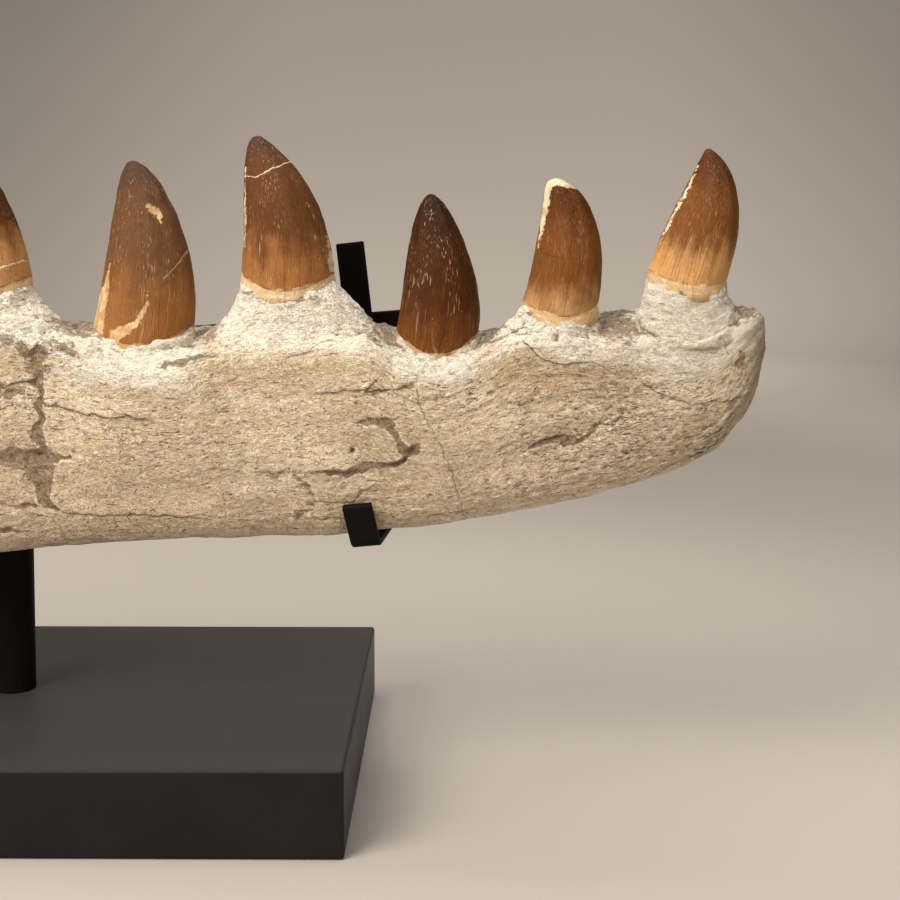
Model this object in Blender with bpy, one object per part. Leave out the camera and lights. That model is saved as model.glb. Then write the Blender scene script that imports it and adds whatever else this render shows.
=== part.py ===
"""Fossil jaw branch of a large marine reptile, resting in the hooks of its display stand.

Frame: origin at the middle of the base's underside, +X towards the jaw's front tip, +Y towards
the inner side of the jaw, +Z up. Lengths are in metres; MM turns millimetres into metres.
"""
import math

import bmesh
import bpy
from mathutils import Matrix, Vector

MM = 0.001
GAP = 0.3 * MM

# Base and post of the stand
BASE_LENGTH = 240 * MM
BASE_DEPTH = 160 * MM
BASE_HEIGHT = 27 * MM
BASE_BEVEL = 1.1 * MM
POST_RADIUS = 7.5 * MM
POST_SIDES = 40
POST_TOP = 150 * MM
EDGE_BEVEL = 0.35 * MM

# Flat bar stock of the back bar
STOCK_WIDTH = 12.7 * MM
STOCK_THICKNESS = 3 * MM
BAR_ENDS = (-138 * MM, 146 * MM)
BAR_HEIGHT = 141.5 * MM
BAR_TILT = math.radians(4.5)
BAR_Y = -POST_RADIUS - GAP - STOCK_THICKNESS / 2

# Each strap: foot of its upright, height of its top, lean in side view and turn about the upright
STRAP_TURN = 6
STRAPS = {
    "strap_right": {"x": 128 * MM, "low": 87.7 * MM, "top": 181.5 * MM, "lean": 6.4, "yaw": STRAP_TURN},
    "strap_left": {"x": -124 * MM, "low": 73.5 * MM, "top": 178 * MM, "lean": 2, "yaw": -STRAP_TURN},
}
STRAP_WIDTH = 9.2 * MM
STRAP_THICKNESS = 2.2 * MM
STRAP_Y = (BAR_Y - STOCK_THICKNESS / 2 - GAP - STRAP_THICKNESS / 2
           - STRAP_WIDTH / 2 * math.sin(math.radians(STRAP_TURN)))
HOOK_ROUNDS = (8 * MM, 4 * MM)
HOOK_FLOOR = 32.8 * MM
HOOK_LIP = (7.5 * MM, 14 * MM)
ARC_STEPS = 6

# Side view of the jaw, in millimetres: lower edge, outer and inner rim along the length
LOW_EDGE = [(-252, 84.5), (-247, 76.8), (-238, 73.8), (-200, 72.8), (-100, 76.4), (-40, 79.5), (5, 82.1),
            (28, 84.5), (47, 85.8), (67, 86.8), (90, 87.7), (112, 88.1), (135, 90.4), (154, 93),
            (173, 96.1), (192, 100.2), (211, 105.5), (223, 109.9), (235.2, 115.6), (239.7, 121.9),
            (244.3, 128), (248.2, 136.8), (250.2, 147.5)]
OUTER_RIM = [(-252, 152), (-225, 160), (-150, 159), (-50, 157), (5, 155), (33, 154), (50, 150), (68, 149),
             (80, 153), (102, 156), (125, 156), (136, 149), (150, 146.5), (163, 151), (172, 155), (186, 156),
             (198, 154), (212, 153), (227, 151.5), (234, 153), (243, 158.5), (247.5, 160), (249.4, 158),
             (250.2, 154)]
INNER_RIM = [(-252, 154), (-225, 162), (-150, 161), (-50, 159.5), (34, 158), (72, 157), (125, 156),
             (168, 156), (190, 160), (203, 162.5), (214, 164.5), (236, 165), (245, 163), (248.6, 160),
             (250.2, 154.5)]
HALF_THICKNESS = [(-252, 16), (-240, 18.8), (-150, 19), (0, 19), (100, 18.6), (150, 17.4), (200, 14.6),
                  (228, 12), (240, 10), (246, 7.5), (250.2, 3.5)]
MIDDLE_Y = -36
WIDEST_SHARE = 0.56
TROUGH_DEPTH = 3.4
UPPER_POWER = 4.6
LOWER_POWER = 2.35
RING_POINTS = 26
STATION_STEP = 10
TIP_STATIONS = (238, 241, 243.5, 246, 248.3, 249.6, 250.2)
BREAK_STATIONS = (-252, -249, -245)

# Relief of the jaw's skin, in millimetres: x, z, half length, half height, slope, rise (minus is a dent)
OUTER_RELIEF = [
    (23, 120, 10, 26, -0.15, -3), (28, 140, 26, 6, -0.2, -2), (60, 141, 30, 8, 0.1, 1.6),
    (95, 103, 44, 6, -0.05, -1.6), (124, 117, 16, 6, -0.35, -2.2), (140, 128, 40, 8, -0.1, 1.4),
    (188, 121, 22, 6, 0.32, -3), (182, 140, 22, 6, -0.2, -2), (212, 137, 10, 8, 0, -2),
    (226, 130, 12, 9, 0, 1.8), (105, 148, 24, 7, 0, 2), (-40, 118, 26, 9, 0.1, -2),
    (-95, 140, 34, 8, 0.05, 1.8), (-120, 100, 46, 8, -0.08, -2), (-188, 128, 24, 10, 0.2, -2.2),
    (-222, 96, 22, 9, 0, 1.8),
]
INNER_RELIEF = [
    (-60, 106, 190, 7, 0.03, -3.2), (150, 112, 70, 6, 0.17, -2.6), (-190, 140, 34, 9, 0, 1.6),
    (20, 134, 50, 7, 0.05, -1.8), (205, 140, 22, 7, 0.1, -1.8), (-215, 118, 18, 14, 0.3, -2.2),
]

# Crowns from the front of the jaw backwards, in millimetres: a curve for each edge in side view,
# from the tip down (end, control, control, base), the breadth's share of the width, the drop of
# the crown's margin on its two broad sides, and how far the tip leans inwards
CROWNS = [
    {"back": [(231.2, 211.2), (227, 200.5), (218.5, 189), (213.5, 173)],
     "front": [(232.8, 211.2), (243.5, 202), (242.7, 183.5), (237.7, 170)], "breadth": 0.84, "drop": 2.6,
     "lean": 2},
    {"back": [(183.2, 202.2), (181.6, 196), (178.4, 176), (174, 163.2)],
     "front": [(185.6, 202.2), (196.7, 196), (200.5, 177), (197.3, 162.2)], "breadth": 0.9, "drop": 3.6,
     "lean": 2.5},
    {"back": [(144.1, 196.8), (139, 190.5), (137.1, 171.5), (134.3, 153.4)],
     "front": [(145.6, 196.8), (152.5, 191.5), (162.6, 166), (159.6, 153.4)], "breadth": 0.88, "drop": 6,
     "lean": 2.5},
    {"back": [(88.9, 215), (85.6, 210), (87.4, 191), (85.2, 172)],
     "front": [(91.1, 215), (100, 208.3), (112.3, 196), (114.2, 172)], "breadth": 0.9, "drop": 5,
     "lean": 3},
    {"back": [(49.6, 206.9), (43.4, 199), (43, 179), (38.2, 155)],
     "front": [(51.2, 206.9), (61.5, 203.8), (72.8, 177), (69.4, 155)], "breadth": 0.86, "drop": 4.5,
     "lean": 3},
    {"back": [(-2.3, 209), (-7, 201), (-8.5, 186), (-12.5, 171)],
     "front": [(-0.7, 209), (9, 202), (15.2, 187), (18.4, 171)], "breadth": 0.88, "drop": 4.5,
     "lean": 3},
    {"back": [(-53.1, 199), (-57.6, 191), (-60, 176), (-63.2, 159)],
     "front": [(-51.5, 199), (-42.5, 192), (-36.3, 176), (-34.8, 159)], "breadth": 0.88, "drop": 5,
     "lean": 3},
    {"back": [(-102.5, 214), (-106.2, 206), (-108, 191), (-110.6, 174)],
     "front": [(-100.7, 214), (-91, 207), (-83, 192), (-81.6, 174)], "breadth": 0.9, "drop": 4.5,
     "lean": 3},
    {"back": [(-149.4, 204), (-153.4, 196), (-155.6, 182), (-158.4, 167)],
     "front": [(-147.8, 204), (-138.6, 198), (-131.4, 183), (-130.2, 167)], "breadth": 0.9, "drop": 4.5,
     "lean": 3},
    {"back": [(-194.8, 192), (-198.6, 185), (-200.4, 174), (-202.2, 162)],
     "front": [(-193.2, 192), (-185.4, 187), (-178, 175), (-176.6, 162)], "breadth": 0.92, "drop": 4,
     "lean": 2.5},
]
CROWN_POINTS = 16
CROWN_LEVELS = 8
SOCKET_GROW = 0.35

# Bone pedestal under each crown: collar height and width over the crown's margin, and how far its
# foot spreads backwards, forwards and sideways at the height foot
PEDESTALS = [
    {"collar": 1.2, "wall": 1.1, "back": 3.5, "front": 6, "side": 2.5, "foot": 155},
    {"collar": 1, "wall": 1.3, "back": 8, "front": 6, "side": 2.5, "foot": 150},
    {"collar": 1, "wall": 2.4, "back": 7, "front": 5, "side": 3, "foot": 140},
    {"collar": 1.4, "wall": 1.0, "back": 9, "front": 13, "side": 4.5, "foot": 150},
    {"collar": 1, "wall": 1.6, "back": 6, "front": 4, "side": 3.5, "foot": 143},
    {"collar": 1.3, "wall": 1.2, "back": 12, "front": 16, "side": 4, "foot": 152},
    {"collar": 1, "wall": 1.8, "back": 9, "front": 8, "side": 3, "foot": 148},
    {"collar": 1.4, "wall": 1.1, "back": 12, "front": 14, "side": 4, "foot": 152},
    {"collar": 1.2, "wall": 1.3, "back": 11, "front": 12, "side": 4, "foot": 152},
    {"collar": 1.2, "wall": 1.5, "back": 10, "front": 10, "side": 3, "foot": 150},
]
PEDESTAL_POINTS = 18
PEDESTAL_LEVELS = 3


def smooth_value(points, x):
    """Read a smooth curve through (x, value) points, flat beyond its ends."""
    if x <= points[0][0]:
        return points[0][1]
    if x >= points[-1][0]:
        return points[-1][1]
    index = max(i for i in range(len(points) - 1) if points[i][0] <= x)

    def slope(i):
        if i in (0, len(points) - 1):
            return 0.0
        left = (points[i][1] - points[i - 1][1]) / (points[i][0] - points[i - 1][0])
        right = (points[i + 1][1] - points[i][1]) / (points[i + 1][0] - points[i][0])
        return 0.0 if left * right <= 0 else 2 * left * right / (left + right)

    (x0, v0), (x1, v1) = points[index], points[index + 1]
    span = x1 - x0
    t = (x - x0) / span
    return ((2 * t ** 3 - 3 * t ** 2 + 1) * v0 + (t ** 3 - 2 * t ** 2 + t) * span * slope(index)
            + (3 * t ** 2 - 2 * t ** 3) * v1 + (t ** 3 - t ** 2) * span * slope(index + 1))


def signed_power(value, power):
    """Raise a value to a power and keep its sign."""
    return math.copysign(abs(value) ** power, value)


def make_material(name, colour, roughness, metallic=0.0):
    """Make a plain Principled material."""
    material = bpy.data.materials.new(name)
    material.use_nodes = True
    shader = material.node_tree.nodes["Principled BSDF"]
    shader.inputs["Base Color"].default_value = (*colour, 1)
    shader.inputs["Roughness"].default_value = roughness
    shader.inputs["Metallic"].default_value = metallic
    material.diffuse_color = (*colour, 1)
    return material


def add_object(name, bm, material, smooth_angle=None):
    """Turn a bmesh into a named object with its material."""
    bmesh.ops.recalc_face_normals(bm, faces=bm.faces)
    mesh = bpy.data.meshes.new(name)
    bm.to_mesh(mesh)
    bm.free()
    if smooth_angle is not None:
        mesh.shade_smooth()
        mesh.set_sharp_from_angle(angle=smooth_angle)
    mesh.materials.append(material)
    item = bpy.data.objects.new(name, mesh)
    bpy.context.collection.objects.link(item)
    return item


def bridge_rings(bm, rings):
    """Join a list of closed rings of points, in metres, into a tube and return its vertex rings."""
    made = [[bm.verts.new(point) for point in ring] for ring in rings]
    for first, second in zip(made, made[1:]):
        count = len(first)
        for i in range(count):
            j = (i + 1) % count
            bm.faces.new((first[i], first[j], second[j], second[i]))
    return made


def close_with_point(bm, ring, point):
    """Close a tube's open end with a fan to one point."""
    centre = bm.verts.new(point)
    for i, vertex in enumerate(ring):
        bm.faces.new((vertex, ring[(i + 1) % len(ring)], centre))


def middle_of(ring):
    """Return the mean of a ring's points."""
    return sum((Vector(point) for point in ring), Vector()) / len(ring)


def relief(x, z, bumps):
    """Sum the relief of one side of the jaw at x, z."""
    total = 0.0
    for centre_x, centre_z, half_length, half_height, slope, rise in bumps:
        across = (x - centre_x) / half_length
        up = (z - centre_z - slope * (x - centre_x)) / half_height
        total += rise * math.exp(-across ** 2 - up ** 2)
    return total


def jaw_ring(x):
    """Return the jaw's closed section at x (millimetres) as points in metres."""
    low, outer, inner = (smooth_value(line, x) for line in (LOW_EDGE, OUTER_RIM, INNER_RIM))
    half = smooth_value(HALF_THICKNESS, x)
    widest = low + WIDEST_SHARE * (min(outer, inner) - low)
    points = []
    for i in range(RING_POINTS):
        turn = 2 * math.pi * (i + 0.5) / RING_POINTS
        c, s = math.cos(turn), math.sin(turn)
        power = UPPER_POWER if s > 0 else LOWER_POWER
        side = signed_power(c, 2 / power)
        if s > 0:
            rim = outer + (inner - outer) * (side + 1) / 2
            rim -= TROUGH_DEPTH * (1 - side ** 2) * min(1, half / 12)
            z = widest + (rim - widest) * s ** (2 / power)
        else:
            z = widest - (widest - low) * abs(s) ** (2 / power)
        swell = relief(x, z, INNER_RELIEF if c > 0 else OUTER_RELIEF) * abs(side) ** 2
        y = MIDDLE_Y + side * (half + swell)
        points.append(Vector((x, y, z)) * MM)
    return points


def broken_end(ring):
    """Return the rings of the rough break at the jaw's rear, from its edge inwards."""
    centre = middle_of(ring)
    rings = []
    for share, depth in ((0.72, 3.5), (0.4, -1.5)):
        inner = []
        for i, point in enumerate(ring):
            rough = 2.2 * math.sin(2.3 * i + 5 * share) + 1.4 * math.sin(5.1 * i)
            shifted = centre + (point - centre) * share
            shifted.x += (depth + rough) * MM
            inner.append(shifted)
        rings.append(inner)
    return rings


def slanted(ring):
    """Slant a ring of the broken end: its top runs further back than its foot."""
    return [point + Vector(((0.118 - point.z) * 0.22, 0, 0)) for point in ring]


def jaw_body(material):
    """Loft the jaw's bone from its broken rear end to its rounded front tip."""
    count = round((TIP_STATIONS[0] - BREAK_STATIONS[-1]) / STATION_STEP)
    step = (TIP_STATIONS[0] - BREAK_STATIONS[-1]) / count
    middle = [BREAK_STATIONS[-1] + step * i for i in range(1, count)]
    rings = [jaw_ring(x) for x in (*BREAK_STATIONS, *middle, *TIP_STATIONS)]
    blend = len(BREAK_STATIONS)
    rings[:blend] = [slanted(ring) for ring in rings[:blend]]
    bm = bmesh.new()
    made = bridge_rings(bm, [*reversed(broken_end(rings[0])), *rings])
    close_with_point(bm, list(reversed(made[0])), middle_of([v.co for v in made[0]]))
    tip = middle_of(rings[-1]) + Vector((0.6 * MM, 0, 0))
    close_with_point(bm, made[-1], tip)
    return add_object("jaw_bone", bm, material, math.radians(50))


def bezier(points, t):
    """Return the point at t on a cubic curve of four (x, z) points."""
    weights = ((1 - t) ** 3, 3 * t * (1 - t) ** 2, 3 * t * t * (1 - t), t ** 3)
    return sum((Vector(point) * weight for point, weight in zip(points, weights)), Vector((0, 0)))


def crown_ring(crown, t, count, grow=0.0):
    """Return one section of a crown; t runs from 0 at its tip to 1 at its base."""
    back, front = bezier(crown["back"], t), bezier(crown["front"], t)
    centre, across = (back + front) / 2, (front - back) / 2
    along = across.normalized()
    half = across.length + grow
    breadth = across.length * crown["breadth"] + grow
    inwards = crown["lean"] * (1 - t) ** 2
    points = []
    for i in range(count):
        turn = 2 * math.pi * i / count
        c, s = math.cos(turn), math.sin(turn)
        place = centre + along * half * c
        drop = crown["drop"] * t ** 4 * s * s
        points.append(Vector((place.x, MIDDLE_Y + inwards + breadth * s, place.y - drop)) * MM)
    return points


def crown_mesh(crown, grow=0.0):
    """Build a closed crown, or with grow the space that it needs in the bone."""
    bm = bmesh.new()
    steps = [(i / (CROWN_LEVELS - 1)) ** 1.25 for i in range(CROWN_LEVELS)]
    rings = [crown_ring(crown, t, CROWN_POINTS, grow) for t in steps]
    if grow:
        rings.append([point - Vector((0, 0, grow * MM)) for point in rings[-1]])
    made = bridge_rings(bm, rings)
    width = (Vector(crown["front"][0]) - Vector(crown["back"][0])).length / 2
    rise = Vector((0, 0, (width + grow) * 0.7 * MM))
    close_with_point(bm, list(reversed(made[0])), middle_of(rings[0]) + rise)
    close_with_point(bm, made[-1], middle_of(rings[-1]))
    return bm


def pedestal_mesh(crown, pedestal):
    """Build the flared bone pedestal that carries a crown."""
    collar = [point + Vector((0, 0, pedestal["collar"] * MM))
              for point in crown_ring(crown, 1.0, PEDESTAL_POINTS, pedestal["wall"])]
    centre = middle_of(collar)
    foot = pedestal["foot"] * MM
    rings = []
    for level in range(PEDESTAL_LEVELS + 1):
        t = level / PEDESTAL_LEVELS
        flare = t ** 1.8
        ring = []
        for i, point in enumerate(collar):
            turn = 2 * math.pi * i / PEDESTAL_POINTS
            c, s = math.cos(turn), math.sin(turn)
            spread = pedestal["front"] if c > 0 else pedestal["back"]
            out = Vector((c * spread, s * pedestal["side"], 0)) * flare * MM
            ring.append(Vector((point.x, point.y, point.z + (foot - point.z) * t)) + out)
        rings.append(ring)
    bm = bmesh.new()
    made = bridge_rings(bm, rings)
    close_with_point(bm, list(reversed(made[0])), centre)
    close_with_point(bm, made[-1], middle_of(rings[-1]))
    return bm


def add_boolean(item, other, operation):
    """Join or cut an item with a hidden helper object."""
    other.hide_render = True
    other.display_type = "WIRE"
    modifier = item.modifiers.new(f"{operation.lower()}_{other.name}", "BOOLEAN")
    modifier.operation = operation
    modifier.solver = "EXACT"
    modifier.object = other


def build_jaw(bone, enamel):
    """Build the bone with its pedestals and the separate crowns in their sockets."""
    jaw = jaw_body(bone)
    for number, (crown, pedestal) in enumerate(zip(CROWNS, PEDESTALS), start=1):
        helper = add_object(f"pedestal_{number:02d}", pedestal_mesh(crown, pedestal), bone)
        add_boolean(jaw, helper, "UNION")
    for number, crown in enumerate(CROWNS, start=1):
        helper = add_object(f"socket_{number:02d}", crown_mesh(crown, SOCKET_GROW), bone)
        add_boolean(jaw, helper, "DIFFERENCE")
        add_object(f"tooth_{number:02d}", crown_mesh(crown), enamel, math.radians(60))


def bevel_edges(item, width, segments=1):
    """Round an object's sharp edges with a live modifier."""
    modifier = item.modifiers.new("round_edges", "BEVEL")
    modifier.width = width
    modifier.segments = segments
    modifier.limit_method = "ANGLE"
    modifier.angle_limit = math.radians(40)


def build_base(metal):
    """Build the rectangular foot, its underside on the ground plane."""
    bm = bmesh.new()
    bmesh.ops.create_cube(bm, size=1)
    bmesh.ops.scale(bm, vec=(BASE_LENGTH, BASE_DEPTH, BASE_HEIGHT), verts=bm.verts)
    base = add_object("base_block", bm, metal)
    base.location = (0, 0, BASE_HEIGHT / 2)
    bevel_edges(base, BASE_BEVEL, segments=2)


def build_post(metal):
    """Build the round upright that stands on the foot."""
    height = POST_TOP - BASE_HEIGHT - GAP
    bm = bmesh.new()
    bmesh.ops.create_cone(bm, cap_ends=True, segments=POST_SIDES, radius1=POST_RADIUS,
                          radius2=POST_RADIUS, depth=height)
    post = add_object("post", bm, metal, math.radians(40))
    post.location = (0, 0, BASE_HEIGHT + GAP + height / 2)


def build_back_bar(metal):
    """Build the flat bar across the back of the jaw."""
    bm = bmesh.new()
    bmesh.ops.create_cube(bm, size=1)
    length = BAR_ENDS[1] - BAR_ENDS[0]
    bmesh.ops.scale(bm, vec=(length, STOCK_THICKNESS, STOCK_WIDTH), verts=bm.verts)
    bar = add_object("back_bar", bm, metal)
    middle = (BAR_ENDS[0] + BAR_ENDS[1]) / 2
    bar.location = (middle, BAR_Y, BAR_HEIGHT + middle * math.tan(BAR_TILT))
    bar.rotation_euler = (0, -BAR_TILT, 0)
    bevel_edges(bar, EDGE_BEVEL)


def rounded_path(corners, radii):
    """Replace each inner corner of an open path by an arc of its own radius."""
    points = [Vector(corners[0])]
    for before, corner, after, radius in zip(corners, corners[1:], corners[2:], radii):
        before, corner, after = Vector(before), Vector(corner), Vector(after)
        into, out = (before - corner).normalized(), (after - corner).normalized()
        half = into.angle(out) / 2
        reach = radius / math.tan(half)
        centre = corner + (into + out).normalized() * radius / math.sin(half)
        start = corner + into * reach - centre
        end = corner + out * reach - centre
        for i in range(ARC_STEPS + 1):
            t = i / ARC_STEPS
            sweep = math.pi - 2 * half
            spoke = (start * math.sin((1 - t) * sweep) + end * math.sin(t * sweep)) / math.sin(sweep)
            points.append(centre + spoke)
    points.append(Vector(corners[-1]))
    return points


def flat_bar_outline(points, thickness):
    """Return the closed outline of a bent flat bar whose middle line is given."""
    left, right = [], []
    for i, point in enumerate(points):
        before, after = points[max(i - 1, 0)], points[min(i + 1, len(points) - 1)]
        along = (after - before).normalized()
        normal = Vector((-along.y, along.x)) * thickness / 2
        left.append(point + normal)
        right.append(point - normal)
    return left + list(reversed(right))


def build_strap(name, size, metal):
    """Build one strap: upright behind the jaw, floor under it and a lip in front of it."""
    upright = size["top"] - size["low"]
    corners = [(0, upright), (0, 0), (HOOK_FLOOR, 0), (HOOK_FLOOR + HOOK_LIP[0], HOOK_LIP[1])]
    outline = flat_bar_outline(rounded_path(corners, HOOK_ROUNDS), STRAP_THICKNESS)
    bm = bmesh.new()
    verts = [bm.verts.new((-STRAP_WIDTH / 2, -point.x, point.y)) for point in outline]
    face = bm.faces.new(verts)
    swept = bmesh.ops.extrude_face_region(bm, geom=[face])["geom"]
    moved = [item for item in swept if isinstance(item, bmesh.types.BMVert)]
    bmesh.ops.translate(bm, vec=(STRAP_WIDTH, 0, 0), verts=moved)
    strap = add_object(name, bm, metal, math.radians(35))
    place = Matrix.Translation((size["x"], STRAP_Y, size["low"]))
    lean = Matrix.Rotation(math.radians(-size["lean"]), 4, "Y")
    yaw = Matrix.Rotation(math.radians(-size["yaw"]), 4, "Z")
    strap.matrix_world = place @ lean @ yaw
    bevel_edges(strap, EDGE_BEVEL)


def main():
    """Clear the scene and build every piece."""
    for item in list(bpy.data.objects):
        bpy.data.objects.remove(item, do_unlink=True)
    bone = make_material("fossil_bone", (0.62, 0.52, 0.38), 0.85)
    enamel = make_material("brown_enamel", (0.18, 0.07, 0.025), 0.3)
    powder_coat = make_material("black_powder_coat", (0.03, 0.03, 0.032), 0.55)
    build_jaw(bone, enamel)
    build_base(powder_coat)
    build_post(powder_coat)
    build_back_bar(powder_coat)
    for name, size in STRAPS.items():
        build_strap(name, size, powder_coat)


main()
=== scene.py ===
"""Looks of a fossil jaw branch of a large marine reptile on its black display stand.

Lengths are in millimetres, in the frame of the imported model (origin under the middle of the base,
+X towards the jaw's front tip, +Y towards its inner side, +Z up), and become metres where a point
is written into a mesh. The camera and the lights are in metres.
"""
from __future__ import annotations

import logging
import math
from dataclasses import dataclass, field
from enum import Enum
from typing import Sequence

import bmesh
import bpy
import numpy as np
from mathutils import Euler, Matrix, Vector

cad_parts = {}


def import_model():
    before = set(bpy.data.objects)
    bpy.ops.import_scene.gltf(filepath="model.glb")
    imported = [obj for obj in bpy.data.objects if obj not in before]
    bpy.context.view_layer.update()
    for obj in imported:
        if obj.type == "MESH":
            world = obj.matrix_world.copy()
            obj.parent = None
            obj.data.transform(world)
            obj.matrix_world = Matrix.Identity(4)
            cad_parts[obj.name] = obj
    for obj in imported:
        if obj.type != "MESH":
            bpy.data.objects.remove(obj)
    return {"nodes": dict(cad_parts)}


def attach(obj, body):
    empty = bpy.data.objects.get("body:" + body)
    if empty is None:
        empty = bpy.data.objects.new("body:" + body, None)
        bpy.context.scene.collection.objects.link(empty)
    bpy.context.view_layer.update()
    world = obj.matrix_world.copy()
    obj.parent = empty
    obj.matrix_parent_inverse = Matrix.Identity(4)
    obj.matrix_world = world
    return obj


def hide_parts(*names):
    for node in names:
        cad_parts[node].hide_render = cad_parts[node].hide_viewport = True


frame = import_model()

MM = 0.001
LOG = logging.getLogger("fossil_jaw")
Array = np.ndarray
Colour = tuple[float, float, float]


def smooth_step(low: float, high: float, value: Array) -> Array:
    """Ease from 0 at low to 1 at high.

    Args:
        low: Value where the result is 0.
        high: Value where the result is 1; it may be the smaller of the two.
        value: Values to ease.

    Returns:
        The eased values.
    """
    share = np.clip((value - low) / (high - low), 0.0, 1.0)
    return share * share * (3.0 - 2.0 * share)


@dataclass(frozen=True)
class Profile:
    """A smooth curve through given (position, value) points, flat beyond its ends."""

    points: tuple[tuple[float, float], ...]

    def at(self, position: Array | float) -> Array:
        """Read the curve.

        Args:
            position: Where to read it.

        Returns:
            The curve's values there.
        """
        place, value = np.array(self.points, dtype=float).T
        gap = np.diff(place)
        rate = np.diff(value) / gap
        slope = np.zeros_like(value)
        before, after = rate[:-1], rate[1:]
        agree = before * after > 0
        total = np.where(agree, before + after, 1.0)
        slope[1:-1] = np.where(agree, 2 * before * after / total, 0.0)
        index = np.clip(np.searchsorted(place, position) - 1, 0, len(gap) - 1)
        t = np.clip((position - place[index]) / gap[index], 0.0, 1.0)
        start = (2 * t ** 3 - 3 * t ** 2 + 1) * value[index]
        start = start + (t ** 3 - 2 * t ** 2 + t) * gap[index] * slope[index]
        end = (3 * t ** 2 - 2 * t ** 3) * value[index + 1]
        return start + end + (t ** 3 - t ** 2) * gap[index] * slope[index + 1]


class Grain:
    """Seeded gradient noise for whole arrays of points."""

    CELLS = 256

    def __init__(self, seed: int) -> None:
        """Draw the noise's table.

        Args:
            seed: The table's seed.
        """
        draw = np.random.default_rng(seed)
        self._order = draw.permutation(self.CELLS)
        arrows = draw.normal(size=(self.CELLS, 3))
        self._arrows = arrows / np.linalg.norm(arrows, axis=1)[:, None]

    def at(self, points: Array, size: Sequence[float] | float = 1.0) -> Array:
        """Read one layer of noise, about -1 to 1.

        Args:
            points: Points, one row each.
            size: Length of a feature, for all axes or for each.

        Returns:
            One value for each point.
        """
        scaled = points / np.asarray(size, dtype=float)
        cell = np.floor(scaled).astype(int)
        inside = scaled - cell
        ease = inside ** 3 * (inside * (inside * 6 - 15) + 10)
        total = np.zeros(len(points))
        for corner in np.ndindex(2, 2, 2):
            place = (cell + corner) % self.CELLS
            key = self._order[place[:, 0]]
            key = self._order[(key + place[:, 1]) % self.CELLS]
            key = self._order[(key + place[:, 2]) % self.CELLS]
            reach = np.einsum("ij,ij->i", self._arrows[key], inside - corner)
            total += reach * np.where(corner, ease, 1 - ease).prod(axis=1)
        return total * 1.7

    def layers(self, points: Array, size: Sequence[float] | float, count: int = 3) -> Array:
        """Sum layers of noise, each half the size and strength of the one before.

        Args:
            points: Points, one row each.
            size: Length of the largest features.
            count: Number of layers.

        Returns:
            One value for each point.
        """
        total = np.zeros(len(points))
        for layer in range(count):
            shift = np.array((17.3, 5.1, 9.7)) * layer
            total += self.at(points + shift, np.asarray(size, dtype=float) / 2 ** layer) / 2 ** layer
        return total


class Side(Enum):
    """The two broad sides of the jaw, by the sign of their direction along Y."""

    OUTER = -1
    INNER = 1


class Tone(Enum):
    """Colour tones that lie in patches on the bone, by the name of their mesh attribute."""

    TAN = "tan"
    CHALK = "chalk"
    ROCK = "rock"


@dataclass(frozen=True)
class Bump:
    """A soft rise or dent on one side of the jaw."""

    x: float
    z: float
    half_length: float
    half_height: float
    slope: float
    rise: float

    def at(self, x: Array, z: Array) -> Array:
        """Return the bump's height at x, z."""
        across, up = (x - self.x) / self.half_length, z - self.z - self.slope * (x - self.x)
        return self.rise * np.exp(-across ** 2 - (up / self.half_height) ** 2)


@dataclass(frozen=True)
class Patch:
    """A patch of another tone, with an edge that noise breaks up."""

    tone: Tone
    shape: Bump
    side: Side


@dataclass(frozen=True)
class Seam:
    """A line on the skin of the jaw: a crack, a flake's edge or a crevice filled with rock.

    Each point is (x, z, half width). A step raises the skin on the line's left, seen along it.
    """

    points: tuple[tuple[float, float, float], ...]
    depth: float = 0.4
    dark: float = 1.0
    rock: float = 0.0
    step: float = 0.0
    reach: float = 9.0
    side: Side = Side.OUTER
    broken: float = 0.7

    def near(self, x: Array, z: Array, margin: float) -> Array:
        """Return which points lie within a margin of the line's box."""
        low, high = np.min(self.points, axis=0) - margin, np.max(self.points, axis=0) + margin
        return (x > low[0]) & (x < high[0]) & (z > low[1]) & (z < high[1])

    def measure(self, x: Array, z: Array) -> tuple[Array, Array, Array]:
        """Measure points against the line.

        Args:
            x: Positions along the jaw.
            z: Heights.

        Returns:
            The signed distance (plus on the left), the half width there and how far the point
            lies beyond an end of the line.
        """
        best = np.full(len(x), 1e9)
        signed, width, beyond = np.zeros(len(x)), np.zeros(len(x)), np.zeros(len(x))
        last = len(self.points) - 2
        for index, ((x0, z0, w0), (x1, z1, w1)) in enumerate(zip(self.points, self.points[1:])):
            run, rise = x1 - x0, z1 - z0
            length = math.hypot(run, rise)
            along = ((x - x0) * run + (z - z0) * rise) / length ** 2
            share = np.clip(along, 0.0, 1.0)
            gap = np.hypot(x - x0 - share * run, z - z0 - share * rise)
            side = np.sign((z - z0) * run - (x - x0) * rise)
            over = np.zeros(len(x))
            if index == 0:
                over = np.maximum(over, -along * length)
            if index == last:
                over = np.maximum(over, (along - 1) * length)
            closer = gap < best
            best = np.where(closer, gap, best)
            signed = np.where(closer, gap * side, signed)
            width = np.where(closer, w0 + (w1 - w0) * share, width)
            beyond = np.where(closer, over, beyond)
        return signed, width, beyond


def line(*points: tuple[float, float],
         width: float = 0.3) -> tuple[tuple[float, float, float], ...]:
    """Give every (x, z) point of a line the same half width."""
    return tuple((x, z, width) for x, z in points)


def bumps(*sizes: tuple[float, ...]) -> tuple[Bump, ...]:
    """Make bumps from their x, z, half length, half height, slope and rise."""
    return tuple(Bump(*size) for size in sizes)


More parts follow.
